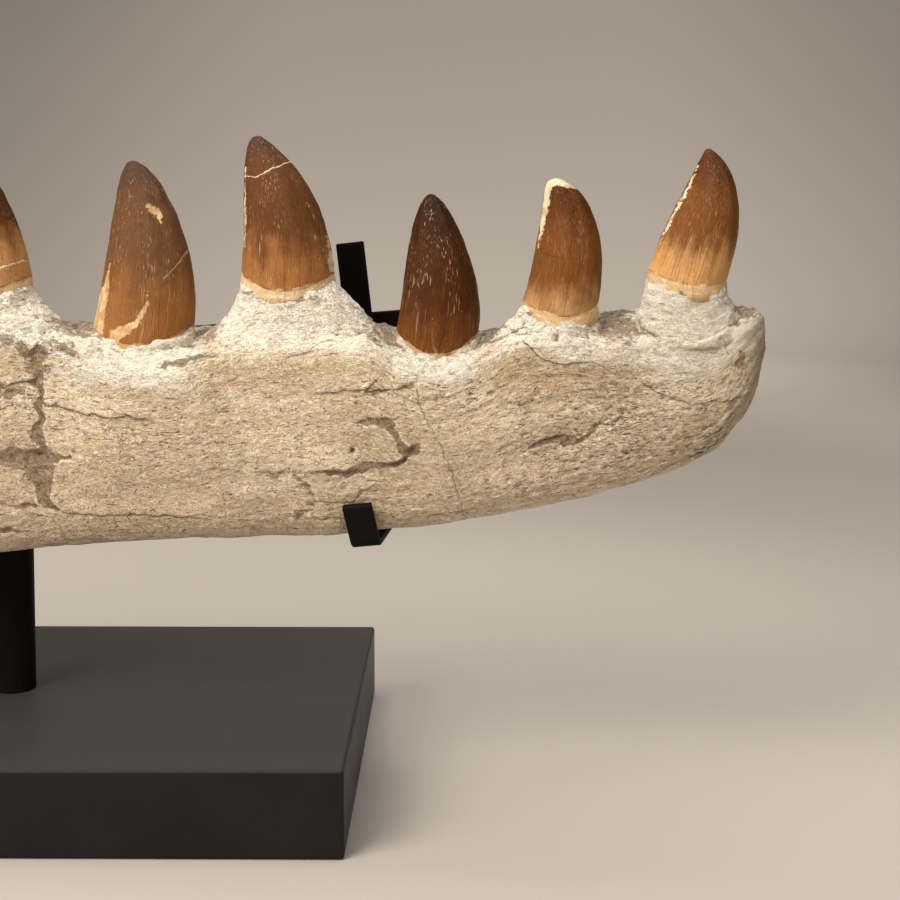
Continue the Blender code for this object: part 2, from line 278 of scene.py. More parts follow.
OUTER_BUMPS = bumps(
    (23, 120, 10, 26, -0.15, -3.0), (28, 140, 26, 6, -0.2, -2.0), (60, 141, 30, 8, 0.1, 1.6),
    (95, 103, 44, 6, -0.05, -1.6), (124, 117, 16, 6, -0.35, -2.2), (140, 128, 40, 8, -0.1, 1.4),
    (188, 121, 22, 6, 0.32, -3.0), (182, 140, 22, 6, -0.2, -2.0), (212, 137, 10, 8, 0.0, -2.0),
    (226, 130, 12, 9, 0.0, 1.8), (105, 148, 24, 7, 0.0, 2.0), (-40, 118, 26, 9, 0.1, -2.0),
    (-95, 140, 34, 8, 0.05, 1.8), (-120, 100, 46, 8, -0.08, -2.0), (-188, 128, 24, 10, 0.2, -2.2),
    (-222, 96, 22, 9, 0.0, 1.8),
)
INNER_BUMPS = bumps(
    (-60, 106, 190, 7, 0.03, -3.2), (150, 112, 70, 6, 0.17, -2.6), (-190, 140, 34, 9, 0.0, 1.6),
    (20, 134, 50, 7, 0.05, -1.8), (205, 140, 22, 7, 0.1, -1.8), (-215, 118, 18, 14, 0.3, -2.2),
)


@dataclass(frozen=True)
class JawForm:
    """The jaw's large form: its outlines in side view, thickness and section."""

    low_edge: Profile = Profile((
        (-252, 85.1), (-247, 77.4), (-238, 74.4), (-200, 73.4), (-100, 77), (-40, 80.1), (5, 82.7),
        (28, 85.1), (47, 86.4), (67, 87.4), (90, 88.3), (112, 88.7), (135, 91), (154, 93.6), (173, 96.7),
        (192, 100.8), (211, 106.1), (223, 110.5), (235.2, 116.2), (239.7, 122.3), (244.3, 128.3),
        (248.2, 137), (250.2, 147.5)))
    outer_rim: Profile = Profile((
        (-252, 152), (-225, 160), (-150, 159), (-50, 157), (5, 155), (33, 154), (50, 150), (68, 149),
        (80, 153), (102, 156), (125, 156), (136, 149), (150, 146.5), (163, 151), (172, 155), (186, 156),
        (198, 154), (212, 153), (227, 151.5), (234, 153), (243, 159), (247.5, 160.6), (249.4, 158.5),
        (250.2, 154)))
    inner_rim: Profile = Profile((
        (-252, 154), (-225, 162), (-150, 161), (-50, 160), (34, 159.4), (72, 158.8), (125, 158),
        (168, 157.6), (190, 161.4), (203, 163.6), (214, 165.4), (236, 165.6), (245, 163.6), (248.6, 160.6),
        (250.2, 154.5)))
    half_thickness: Profile = Profile((
        (-252, 16), (-240, 18.8), (-150, 19), (0, 19), (100, 18.6), (150, 17.4), (200, 14.6),
        (228, 12), (240, 10), (246, 7.5), (250.2, 3.5)))
    middle_y: float = -36.0
    widest_share: float = 0.56
    trough_depth: float = 3.4
    upper_power: float = 4.6
    lower_power: float = 2.35
    rear: float = -252.0
    front: float = 250.2
    rear_slant: float = 0.22
    slant_height: float = 118.0
    ring_points: int = 84
    ring_step: float = 3.0

    def section(self, x: float) -> Array:
        """Return the closed section at one place.

        Args:
            x: Position along the jaw.

        Returns:
            Points, one row each.
        """
        low, outer, inner = (float(edge.at(x)) for edge in (self.low_edge, self.outer_rim, self.inner_rim))
        half = float(self.half_thickness.at(x))
        widest = low + self.widest_share * (min(outer, inner) - low)
        turn = 2 * math.pi * (np.arange(self.ring_points) + 0.5) / self.ring_points
        c, s = np.cos(turn), np.sin(turn)
        power = np.where(s > 0, self.upper_power, self.lower_power)
        side = np.sign(c) * np.abs(c) ** (2 / power)
        rim = outer + (inner - outer) * (side + 1) / 2
        rim = rim - self.trough_depth * (1 - side ** 2) * min(1.0, half / 12)
        lift = np.abs(s) ** (2 / power)
        z = np.where(s > 0, widest + (rim - widest) * lift, widest - (widest - low) * lift)
        swell = np.where(c > 0, sum(bump.at(x, z) for bump in INNER_BUMPS),
                         sum(bump.at(x, z) for bump in OUTER_BUMPS))
        y = self.middle_y + side * (half + swell * side ** 2)
        return np.stack([np.full_like(y, x), y, z], axis=1)

    def rings(self) -> list[Array]:
        """Return the sections from the broken rear to the rounded front tip.

        Returns:
            The rings of points.
        """
        body = np.arange(self.rear + 8, 234, self.ring_step)
        start = (self.rear, self.rear + 1.5, self.rear + 4)
        tip = (236, 238, 240, 241.5, 243, 244.5, 246, 247.3, 248.3, 249.2, 249.8, self.front)
        rings = [self.section(x) for x in (*start, *body, *tip)]
        for ring in rings[:3]:
            ring[:, 0] += (self.slant_height - ring[:, 2]) * self.rear_slant
        return rings


def bezier(points: Sequence[tuple[float, float]], t: Array) -> Array:
    """Read a cubic curve of four (x, z) points at t."""
    weights = np.stack([(1 - t) ** 3, 3 * t * (1 - t) ** 2, 3 * t * t * (1 - t), t ** 3], axis=-1)
    return weights @ np.array(points, dtype=float)


def sweep_rings(bm: bmesh.types.BMesh, rings: Sequence[Array],
                layers: dict[str, Sequence[Array]] | None = None) -> None:
    """Draw the first ring as a circle, extrude it through the others and close both ends.

    Args:
        bm: The mesh to add to.
        rings: Rings of points in millimetres, all with the same count.
        layers: For each vector attribute, one array of rows for each ring.
    """
    layers = layers or {}
    keys = {name: bm.verts.layers.float_vector[name] for name in layers}

    def place(verts: Sequence[bmesh.types.BMVert], index: int) -> None:
        """Put the verts on a ring and fill their attributes.

        Args:
            verts: The verts.
            index: The ring's number.
        """
        for number, vert in enumerate(verts):
            vert.co = Vector(rings[index][number]) * MM
            for name, key in keys.items():
                vert[key] = layers[name][index][number]

    verts = bmesh.ops.create_circle(bm, segments=len(rings[0]), radius=1.0)["verts"]
    ends = list({edge for vert in verts for edge in vert.link_edges})
    edges = ends
    place(verts, 0)
    for index in range(1, len(rings)):
        made = bmesh.ops.extrude_edge_only(bm, edges=edges)["geom"]
        fresh = {item for item in made if isinstance(item, bmesh.types.BMVert)}
        verts = [next(edge.other_vert(vert) for edge in vert.link_edges if edge.other_vert(vert) in fresh)
                 for vert in verts]
        edges = [item for item in made
                 if isinstance(item, bmesh.types.BMEdge) and all(vert in fresh for vert in item.verts)]
        place(verts, index)
    caps = [bmesh.ops.contextual_create(bm, geom=loop)["faces"][0] for loop in (ends, edges)]
    bmesh.ops.poke(bm, faces=caps)


def add_piece(name: str, bm: bmesh.types.BMesh, smooth: bool = True) -> bpy.types.Object:
    """Turn a bmesh into a named object at the origin.

    Args:
        name: The object's name.
        bm: The mesh, which is freed.
        smooth: Whether its faces are shaded smooth.

    Returns:
        The new object.
    """
    bmesh.ops.recalc_face_normals(bm, faces=bm.faces)
    mesh = bpy.data.meshes.new(name)
    bm.to_mesh(mesh)
    bm.free()
    if smooth:
        mesh.shade_smooth()
    piece = bpy.data.objects.new(name, mesh)
    bpy.context.scene.collection.objects.link(piece)
    return piece


def apply_modifiers(piece: bpy.types.Object) -> None:
    """Replace an object's mesh by what its modifiers make of it.

    Args:
        piece: The object.
    """
    graph = bpy.context.evaluated_depsgraph_get()
    graph.update()
    mesh = bpy.data.meshes.new_from_object(piece.evaluated_get(graph))
    piece.modifiers.clear()
    piece.data = mesh


def read_points(mesh: bpy.types.Mesh) -> tuple[Array, Array]:
    """Read a mesh.

    Args:
        mesh: The mesh.

    Returns:
        Its points in millimetres and its normals.
    """
    count = len(mesh.vertices)
    points, normals = np.empty(count * 3), np.empty(count * 3)
    mesh.vertices.foreach_get("co", points)
    mesh.vertex_normals.foreach_get("vector", normals)
    return points.reshape(-1, 3) / MM, normals.reshape(-1, 3)


def write_points(mesh: bpy.types.Mesh, points: Array) -> None:
    """Write points in millimetres back into a mesh."""
    mesh.vertices.foreach_set("co", (points * MM).ravel())
    mesh.update()


def write_vectors(mesh: bpy.types.Mesh, name: str, values: Array) -> None:
    """Store one vector for each vertex as a named attribute."""
    layer = mesh.attributes.new(name, "FLOAT_VECTOR", "POINT")
    layer.data.foreach_set("vector", values.astype(np.float32).ravel())


def spread(mesh: bpy.types.Mesh, values: Array, rounds: int) -> Array:
    """Average values with their neighbours along the mesh's edges.

    Args:
        mesh: The mesh.
        values: One row or number for each vertex.
        rounds: How often to average.

    Returns:
        The averaged values.
    """
    pairs = np.empty(len(mesh.edges) * 2, dtype=np.int64)
    mesh.edges.foreach_get("vertices", pairs)
    first, second = pairs.reshape(-1, 2).T
    count = np.bincount(pairs, minlength=len(mesh.vertices)).astype(float)
    result = values
    for _ in range(rounds):
        total = sum(np.bincount(near, result[far], len(count))
                    for near, far in ((first, second), (second, first)))
        result = 0.5 * result + 0.5 * total / np.maximum(count, 1)
    return result


Socket = bpy.types.NodeSocket
Value = Socket | float | Sequence[float]
Size = float | tuple[float, float, float]


class NodeGraph:
    """A material's node tree with short calls for the nodes that the finishes share."""

    # The Mix node's colour sockets go by number, because its socket names repeat
    MIX_SHARE, MIX_FIRST, MIX_SECOND, MIX_RESULT = 0, 6, 7, 2

    def __init__(self, name: str) -> None:
        """Start an empty material with a Principled shader.

        Args:
            name: The material's name.
        """
        self.material = bpy.data.materials.new(name)
        self.material.use_nodes = True
        self.tree = self.material.node_tree
        self.shader = self.tree.nodes["Principled BSDF"]

    def node(self, kind: str, inputs: dict[str | int, Value] | None = None,
             **settings: object) -> bpy.types.Node:
        """Add a node.

        Args:
            kind: The node's type.
            inputs: Sockets or values for its inputs, by name or number.
            **settings: The node's own settings.

        Returns:
            The node.
        """
        node = self.tree.nodes.new(kind)
        for key, value in settings.items():
            setattr(node, key, value)
        for key, value in (inputs or {}).items():
            self.feed(node.inputs[key], value)
        return node

    def feed(self, target: Socket, value: Value) -> None:
        """Link a socket to another one, or set its value.

        Args:
            target: The input to feed.
            value: A socket, a number, a vector or a colour.
        """
        if isinstance(value, bpy.types.NodeSocket):
            self.tree.links.new(value, target)
        elif target.type == "RGBA" and len(value) == 3:
            target.default_value = (*value, 1.0)
        else:
            target.default_value = value

    def math(self, operation: str, first: Value, second: Value = 0.0, clamp: bool = False) -> Socket:
        """Combine two numbers."""
        return self.node("ShaderNodeMath", {0: first, 1: second}, operation=operation,
                         use_clamp=clamp).outputs[0]

    def add(self, first: Value, second: Value) -> Socket:
        """Add two numbers."""
        return self.math("ADD", first, second)

    def minus(self, first: Value, second: Value) -> Socket:
        """Take one number from another."""
        return self.math("SUBTRACT", first, second)

    def times(self, first: Value, second: Value, clamp: bool = False) -> Socket:
        """Multiply two numbers."""
        return self.math("MULTIPLY", first, second, clamp)

    def pile(self, *layers: tuple[Socket, Value]) -> Socket:
        """Add up layers of relief.

        Args:
            *layers: Patterns, each with its weight.

        Returns:
            The sum.
        """
        total = self.times(*layers[0])
        for pattern, weight in layers[1:]:
            total = self.add(total, self.times(pattern, weight))
        return total

    def sway(self, value: Socket, amount: float) -> Socket:
        """Turn noise of 0 to 1 into a swing of half the amount to either side."""
        return self.times(self.minus(value, 0.5), amount)

    def ridge(self, value: Socket) -> Socket:
        """Turn noise of 0 to 1 into ridges that peak where it crosses its middle."""
        return self.minus(1.0, self.times(self.math("ABSOLUTE", self.minus(value, 0.5)), 5.0))

    def scale(self, vector: Socket, factors: Sequence[float]) -> Socket:
        """Multiply a vector's axes by their factors."""
        return self.node("ShaderNodeVectorMath", {0: vector, 1: factors}, operation="MULTIPLY").outputs[0]

    def object_place(self) -> Socket:
        """Read the place on the piece in metres."""
        return self.node("ShaderNodeTexCoord").outputs["Object"]

    def millimetres(self) -> Socket:
        """Read the place on the piece in millimetres."""
        return self.scale(self.object_place(), (1 / MM, 1 / MM, 1 / MM))

    def attribute(self, name: str) -> Socket:
        """Read a mesh attribute as a vector."""
        return self.node("ShaderNodeAttribute", attribute_name=name).outputs["Vector"]

    def split(self, vector: Socket) -> tuple[Socket, Socket, Socket]:
        """Take a vector apart."""
        outputs = self.node("ShaderNodeSeparateXYZ", {0: vector}).outputs
        return outputs[0], outputs[1], outputs[2]

    def parts(self, name: str) -> tuple[Socket, Socket, Socket]:
        """Read the three numbers of a vector attribute."""
        return self.split(self.attribute(name))

    def mix(self, share: Value, first: Value, second: Value, blend: str = "MIX") -> Socket:
        """Blend two colours.

        Args:
            share: How much of the second colour is laid on.
            first: The colour below.
            second: The colour on top.
            blend: The way it is laid on.

        Returns:
            The blended colour.
        """
        node = self.node("ShaderNodeMix", {self.MIX_SHARE: share}, data_type="RGBA", blend_type=blend)
        self.feed(node.inputs[self.MIX_FIRST], first)
        self.feed(node.inputs[self.MIX_SECOND], second)
        return node.outputs[self.MIX_RESULT]

    def span(self, value: Value, low: float, high: float, to_low: Value = 0.0,
             to_high: Value = 1.0) -> Socket:
        """Ease a number from one range into another.

        Args:
            value: The number.
            low: Where the result is to_low.
            high: Where the result is to_high; it may be the smaller of the two.
            to_low: The result at low.
            to_high: The result at high.

        Returns:
            The eased number.
        """
        node = self.node("ShaderNodeMapRange", interpolation_type="SMOOTHSTEP")
        for index, item in enumerate((value, low, high, to_low, to_high)):
            self.feed(node.inputs[index], item)
        return node.outputs[0]

    def tint(self, colour: Value, over: Value, value: Socket, low: float, high: float,
             most: float = 1.0) -> Socket:
        """Lay a colour over another, by none where a pattern is low up to most where it is high."""
        return self.mix(self.span(value, low, high, 0.0, most), colour, over)

    def grey(self, shade: Socket) -> Socket:
        """Make a grey of a number."""
        return self.node("ShaderNodeCombineXYZ", {0: shade, 1: shade, 2: shade}).outputs[0]

    def shaded(self, colour: Socket, value: Socket, low: float, high: float) -> Socket:
        """Multiply a colour by a factor that noise of 0 to 1 moves from low to high."""
        return self.mix(1.0, colour, self.grey(self.span(value, 0.3, 0.7, low, high)), "MULTIPLY")

    def noise(self, vector: Socket, size: Size, detail: float = 3.0, roughness: float = 0.55,
              distortion: float = 0.0) -> Socket:
        """Read noise.

        Args:
            vector: Where it is read.
            size: Length of a feature in the vector's unit, for all axes or for each.
            detail: Number of finer layers.
            roughness: Strength of each finer layer.
            distortion: How far the pattern is swirled.

        Returns:
            Noise of 0 to 1.
        """
        sizes = (size,) * 3 if isinstance(size, (int, float)) else size
        scaled = self.scale(vector, [1 / item for item in sizes])
        node = self.node("ShaderNodeTexNoise", {"Vector": scaled, "Scale": 1.0, "Detail": detail,
                                                "Roughness": roughness, "Distortion": distortion})
        return node.outputs["Fac"]

    def bump(self, height: Socket, strength: float, distance: float) -> Socket:
        """Turn a height into a normal; distance is in metres."""
        return self.node("ShaderNodeBump", {"Height": height, "Strength": strength,
                                            "Distance": distance}).outputs[0]

    def finish(self, **inputs: Value) -> bpy.types.Material:
        """Feed the shader's inputs and end the material.

        Args:
            **inputs: Sockets or values, by the input's name with underscores.

        Returns:
            The material.
        """
        for key, value in inputs.items():
            name = key.replace("_", " ").title().replace("Ior", "IOR")
            self.feed(self.shader.inputs[name], value)
        return self.material


@dataclass(frozen=True)
class BoneFinish:
    """Colours of the bone, of the rock that clings to it and of its stains, as linear colours.

    The sizes are lengths of the grain's features in millimetres: along the jaw, across it and up it.
    """

    cream: Colour = (0.84, 0.645, 0.40)
    sand: Colour = (0.62, 0.44, 0.25)
    pale: Colour = (0.95, 0.855, 0.69)
    umber: Colour = (0.40, 0.245, 0.11)
    tan: Colour = (0.60, 0.39, 0.175)
    rust: Colour = (0.40, 0.225, 0.095)
    rock: Colour = (0.25, 0.15, 0.078)
    rock_pale: Colour = (0.42, 0.29, 0.175)
    rock_dark: Colour = (0.085, 0.047, 0.023)
    crack: Colour = (0.14, 0.075, 0.033)
    speck: Colour = (0.25, 0.145, 0.065)
    pit_cover: float = 0.8
    rock_cover: float = 0.85
    crack_cover: float = 0.75
    broad_size: Size = 30
    medium_size: Size = (8, 6, 4.6)
    small_size: Size = (2.4, 2.2, 1.7)
    fibre_size: Size = (5.5, 2.0, 0.8)
    fine_size: Size = 0.75
    grit_size: Size = 1.4
    worm_size: Size = (1.9, 1.5, 1.2)
    pit_field_size: Size = 8
    dot_size: Size = (1.9, 1.4, 0.9)
    dash_size: Size = (2.6, 1.2, 0.6)
    wobble_size: Size = 1.5
    thinnest_crack: float = 0.08
    roughness: float = 0.66
    relief_depth: float = 0.4 * MM


class BoneMaterial:
    """The bone's material, from the jaw's attributes and from patterns that colour and relief share."""

    def __init__(self, finish: BoneFinish) -> None:
        """Start the material, read the attributes and set up the patterns.

        Args:
            finish: The colours and sizes.
        """
        self.finish = finish
        self.graph = graph = NodeGraph("fossil_bone")
        self.place = graph.millimetres()
        self.flow = graph.attribute("flow")
        self.level = graph.parts("flow")[2]
        self.tan, self.chalk, self.rock = graph.parts("tones")
        self.gap, self.width, self.force = graph.parts("crack")
        self.hollow, self.basin, self.edge = graph.parts("wear")
        self.rough, self.spotted, _ = graph.parts("skin")
        self.broad = graph.noise(self.place, finish.broad_size, 3)
        self.medium = graph.noise(self.flow, finish.medium_size, 5, 0.62)
        self.small = graph.noise(self.flow, finish.small_size, 4, 0.68, 0.6)
        self.fibre = graph.noise(self.flow, finish.fibre_size, 3, 0.6, 1.4)
        self.fine = graph.noise(self.place, finish.fine_size, 3, 0.65)
        self.grit = graph.noise(self.place, finish.grit_size, 4, 0.7, 0.8)
        self.worm = graph.ridge(graph.noise(self.flow, finish.worm_size, 2, 0.5, 1.8))
        self.chalky = graph.span(graph.add(self.chalk, graph.sway(self.medium, 1.5)), 0.15, 0.8)

    def build(self) -> bpy.types.Material:
        """Build the bone's material from the jaw's attributes and fine noise.

        Returns:
            The material.
        """
        graph, finish = self.graph, self.finish
        pits, stony, cracked = self.pits(), self.stony(), self.cracked()
        colour = self.toned_by_relief(self.stained_and_shaded())
        colour = graph.mix(graph.times(pits, finish.pit_cover), colour, finish.crack)
        colour = graph.mix(graph.times(stony, finish.rock_cover), colour, self.stone())
        colour = graph.mix(graph.times(cracked, finish.crack_cover), colour, finish.crack)
        colour = graph.shaded(colour, self.fine, 0.94, 1.06)
        height = graph.pile((self.worm, 1.0), (self.small, 0.8), (self.medium, 2.6), (self.fibre, 0.35),
                            (self.fine, graph.span(self.rough, 0, 1, 0.03, 0.2)), (pits, -1.0),
                            (cracked, -1.3), (graph.times(self.grit, stony), 2.2))
        dull = graph.times(graph.math("MAXIMUM", self.chalky, stony), 0.2)
        rough = graph.minus(graph.add(finish.roughness, dull), graph.sway(self.fine, 0.3))
        return graph.finish(base_color=colour, roughness=rough,
                            normal=graph.bump(height, 1.0, finish.relief_depth))

    def stained_and_shaded(self) -> Socket:
        """Lay the bone's sand, tan, chalk and umber over each other, with more sand towards the lower edge,
        partly as painted shade.

        Returns:
            The colour.
        """
        graph, finish = self.graph, self.finish
        lower = graph.add(self.level, graph.sway(self.broad, 60))
        swirl = graph.add(graph.sway(self.small, 1.2), graph.sway(self.medium, 2.4))
        tanned = graph.add(self.tan, swirl)
        colour = graph.tint(finish.sand, finish.cream, self.broad, 0.38, 0.62)
        colour = graph.tint(colour, finish.cream, self.medium, 0.42, 0.66, 0.75)
        # More sand, so a darker colour, towards the lower edge: partly the bone's own tone, partly painted
        # shade where the bone curves under.
        colour = graph.tint(colour, finish.sand, lower, 56, 14, 0.4)
        colour = graph.tint(colour, finish.tan, tanned, 0.2, 1.0, 0.75)
        colour = graph.tint(colour, finish.rust, tanned, 0.9, 1.6, 0.6)
        colour = graph.mix(graph.times(self.chalky, 0.95), colour, finish.pale)
        colour = graph.tint(colour, finish.pale, self.small, 0.52, 0.7, 0.7)
        colour = graph.tint(colour, finish.umber, self.small, 0.46, 0.27, 0.62)
        bare = graph.minus(1.0, graph.times(self.chalky, 0.6))
        clouded = graph.times(graph.span(self.medium, 0.47, 0.3, 0.0, 0.42), bare)
        colour = graph.mix(clouded, colour, finish.umber)
        colour = graph.tint(colour, finish.speck, self.fibre, 0.56, 0.76, 0.38)
        colour = graph.tint(colour, finish.rust, self.worm, 0.35, -0.5, 0.5)
        return graph.tint(colour, finish.pale, self.worm, 0.6, 0.98, 0.4)

    def toned_by_relief(self, colour: Socket) -> Socket:
        """Darken the hollows and the edges of the sheets of bone, and clear the high spots.

        Args:
            colour: The bone's colour, with its stains and its painted shade.

        Returns:
            The colour.
        """
        graph, finish = self.graph, self.finish
        # Darker in the small hollows and paler on the small high spots of the skin.
        fine_hollow = graph.add(self.hollow, graph.sway(self.fine, 0.05))
        colour = graph.tint(colour, finish.speck, fine_hollow, 0.05, 0.24, 0.42)
        colour = graph.tint(colour, finish.pale, fine_hollow, -0.02, -0.16, 0.55)
        deep = graph.add(self.basin, graph.sway(self.small, 0.5))
        colour = graph.tint(colour, finish.rock, deep, 0.2, 0.9, 0.6)
        lip = graph.times(graph.span(self.edge, 0.35, 0.85), graph.span(self.medium, 0.46, 0.6))
        return graph.mix(graph.times(lip, 0.4), colour, finish.speck)

    def pits(self) -> Socket:
        """Draw the small dark pits, round and drawn out along the bone.

        Returns:
            The pits, 0 to 1.
        """
        graph, finish = self.graph, self.finish
        field = graph.span(graph.noise(self.place, finish.pit_field_size, 2), 0.36, 0.5)
        limit = graph.minus(0.70, graph.times(self.spotted, 0.08))
        dots = graph.minus(graph.noise(self.flow, finish.dot_size, 2, 0.55, 0.5), limit)
        dashes = graph.minus(graph.noise(self.flow, finish.dash_size, 2, 0.5, 1.2), limit)
        pits = graph.math("MAXIMUM", graph.times(graph.span(dots, -0.02, 0.04), field),
                          graph.span(dashes, -0.03, 0.02))
        return graph.times(pits, graph.span(self.chalky, 0.2, 1.0, 1.0, 0.45))

    def stony(self) -> Socket:
        """Find where rock clings to the bone, with a ragged edge.

        Returns:
            The rock's share, 0 to 1.
        """
        graph = self.graph
        swirl = graph.add(graph.sway(self.medium, 1.2), graph.sway(self.small, 1.3))
        stony = graph.add(graph.add(self.rock, swirl), graph.sway(self.fine, 0.5))
        return graph.span(stony, 0.42, 0.64)

    def stone(self) -> Socket:
        """Colour the clinging rock.

        Returns:
            The colour.
        """
        graph, finish = self.graph, self.finish
        stone = graph.tint(finish.rock, finish.rock_pale, self.grit, 0.4, 0.6)
        stone = graph.tint(stone, finish.rock_dark, self.grit, 0.47, 0.3, 0.85)
        return graph.tint(stone, finish.rock_dark, self.fibre, 0.5, 0.7, 0.55)

    def cracked(self) -> Socket:
        """Draw the cracks, which waver and change in width.

        Returns:
            The cracks, 0 to 1.
        """
        graph, finish = self.graph, self.finish
        wobble = graph.sway(graph.noise(self.place, finish.wobble_size, 3, 0.6), 0.9)
        width = graph.times(self.width, graph.span(self.small, 0.3, 0.7, 0.3, 1.3))
        distance = graph.math("ABSOLUTE", graph.add(self.gap, wobble))
        widths_away = graph.math("DIVIDE", distance, graph.math("MAXIMUM", width, finish.thinnest_crack))
        return graph.times(graph.span(widths_away, 1.5, 0.5), self.force, clamp=True)


@dataclass(frozen=True)
class StandFinish:
    """A satin black powder coat with a fine orange-peel grain; sizes are in millimetres."""

    name: str
    colour: Colour = (0.007, 0.0064, 0.0062)
    # Colour of the specks and the mottling, and of the painted sheen on the base's top face.
    dust_and_sheen: Colour = (0.06, 0.054, 0.05)
    roughness: float = 0.5
    shine: float = 0.03
    peel_size: float = 0.55
    peel_strength: float = 0.35
    peel_depth: float = 0.2 * MM
    speck_size: float = 0.4
    speck_cover: float = 0.25
    cloud_size: float = 38
    # From this height in millimetres up, the coat is tinted towards the speck colour by the cover below: a
    # painted sheen on the top face of the base.
    painted_sheen_from: float = 0.0
    painted_sheen_cover: float = 0.75

    def build(self) -> bpy.types.Material:
        """Build the coat's material.

        Returns:
            The material.
        """
        graph = NodeGraph(self.name)
        place = graph.millimetres()
        peel = graph.noise(place, self.peel_size, 3, 0.6)
        specks = graph.span(graph.noise(place, self.speck_size, 2, 0.5), 0.62, 0.76)
        cloud = graph.noise(place, self.cloud_size, 4)
        colour = graph.mix(graph.times(specks, self.speck_cover), self.colour, self.dust_and_sheen)
        colour = graph.tint(colour, self.dust_and_sheen, cloud, 0.4, 0.75, 0.08)
        # Painted sheen: the coat is painted lighter from that height up, on the top face of the base.
        if self.painted_sheen_from:
            height = graph.split(place)[2]
            colour = graph.tint(colour, self.dust_and_sheen, height, self.painted_sheen_from - 0.5, self.painted_sheen_from,
                                self.painted_sheen_cover)
        rough = graph.add(self.roughness, graph.sway(cloud, 0.16))
        normal = graph.bump(peel, self.peel_strength, self.peel_depth)
        return graph.finish(base_color=colour, roughness=rough, normal=normal,
                            specular_ior_level=self.shine)


@dataclass(frozen=True)
class EnamelFinish:
    """Colours and wear of one crown, as linear colours from its root to its tip.

    The sizes are lengths of features in millimetres, where there are three across and up the crown.
    """

    root: Colour = (0.66, 0.47, 0.26)
    base: Colour = (0.40, 0.17, 0.055)
    middle: Colour = (0.19, 0.068, 0.021)
    tip: Colour = (0.08, 0.028, 0.011)
    tip_start: float = 0.72
    base_end: float = 0.17
    chip: Colour = (0.80, 0.66, 0.45)
    scratches: float = 0.35
    roughness: float = 0.4
    scratch_cover: float = 0.36
    streak_size: Size = (0.4, 0.4, 26)
    wide_size: Size = (3.2, 3.2, 40)
    cloud_size: Size = 6.5
    fine_size: Size = 0.5
    line_size: Size = (0.42, 0.42, 26)
    line_field_size: Size = (5, 5, 18)
    speck_size: Size = 0.6
    chip_edge_size: Size = 1.6
    flake_size: Size = (1.6, 1.6, 4)
    layer_size: Size = (3.6, 3.6, 0.75)
    root_stain_size: Size = 2.0
    crack_size: Size = 1.3
    shine: float = 0.07
    relief_depth: float = 0.3 * MM


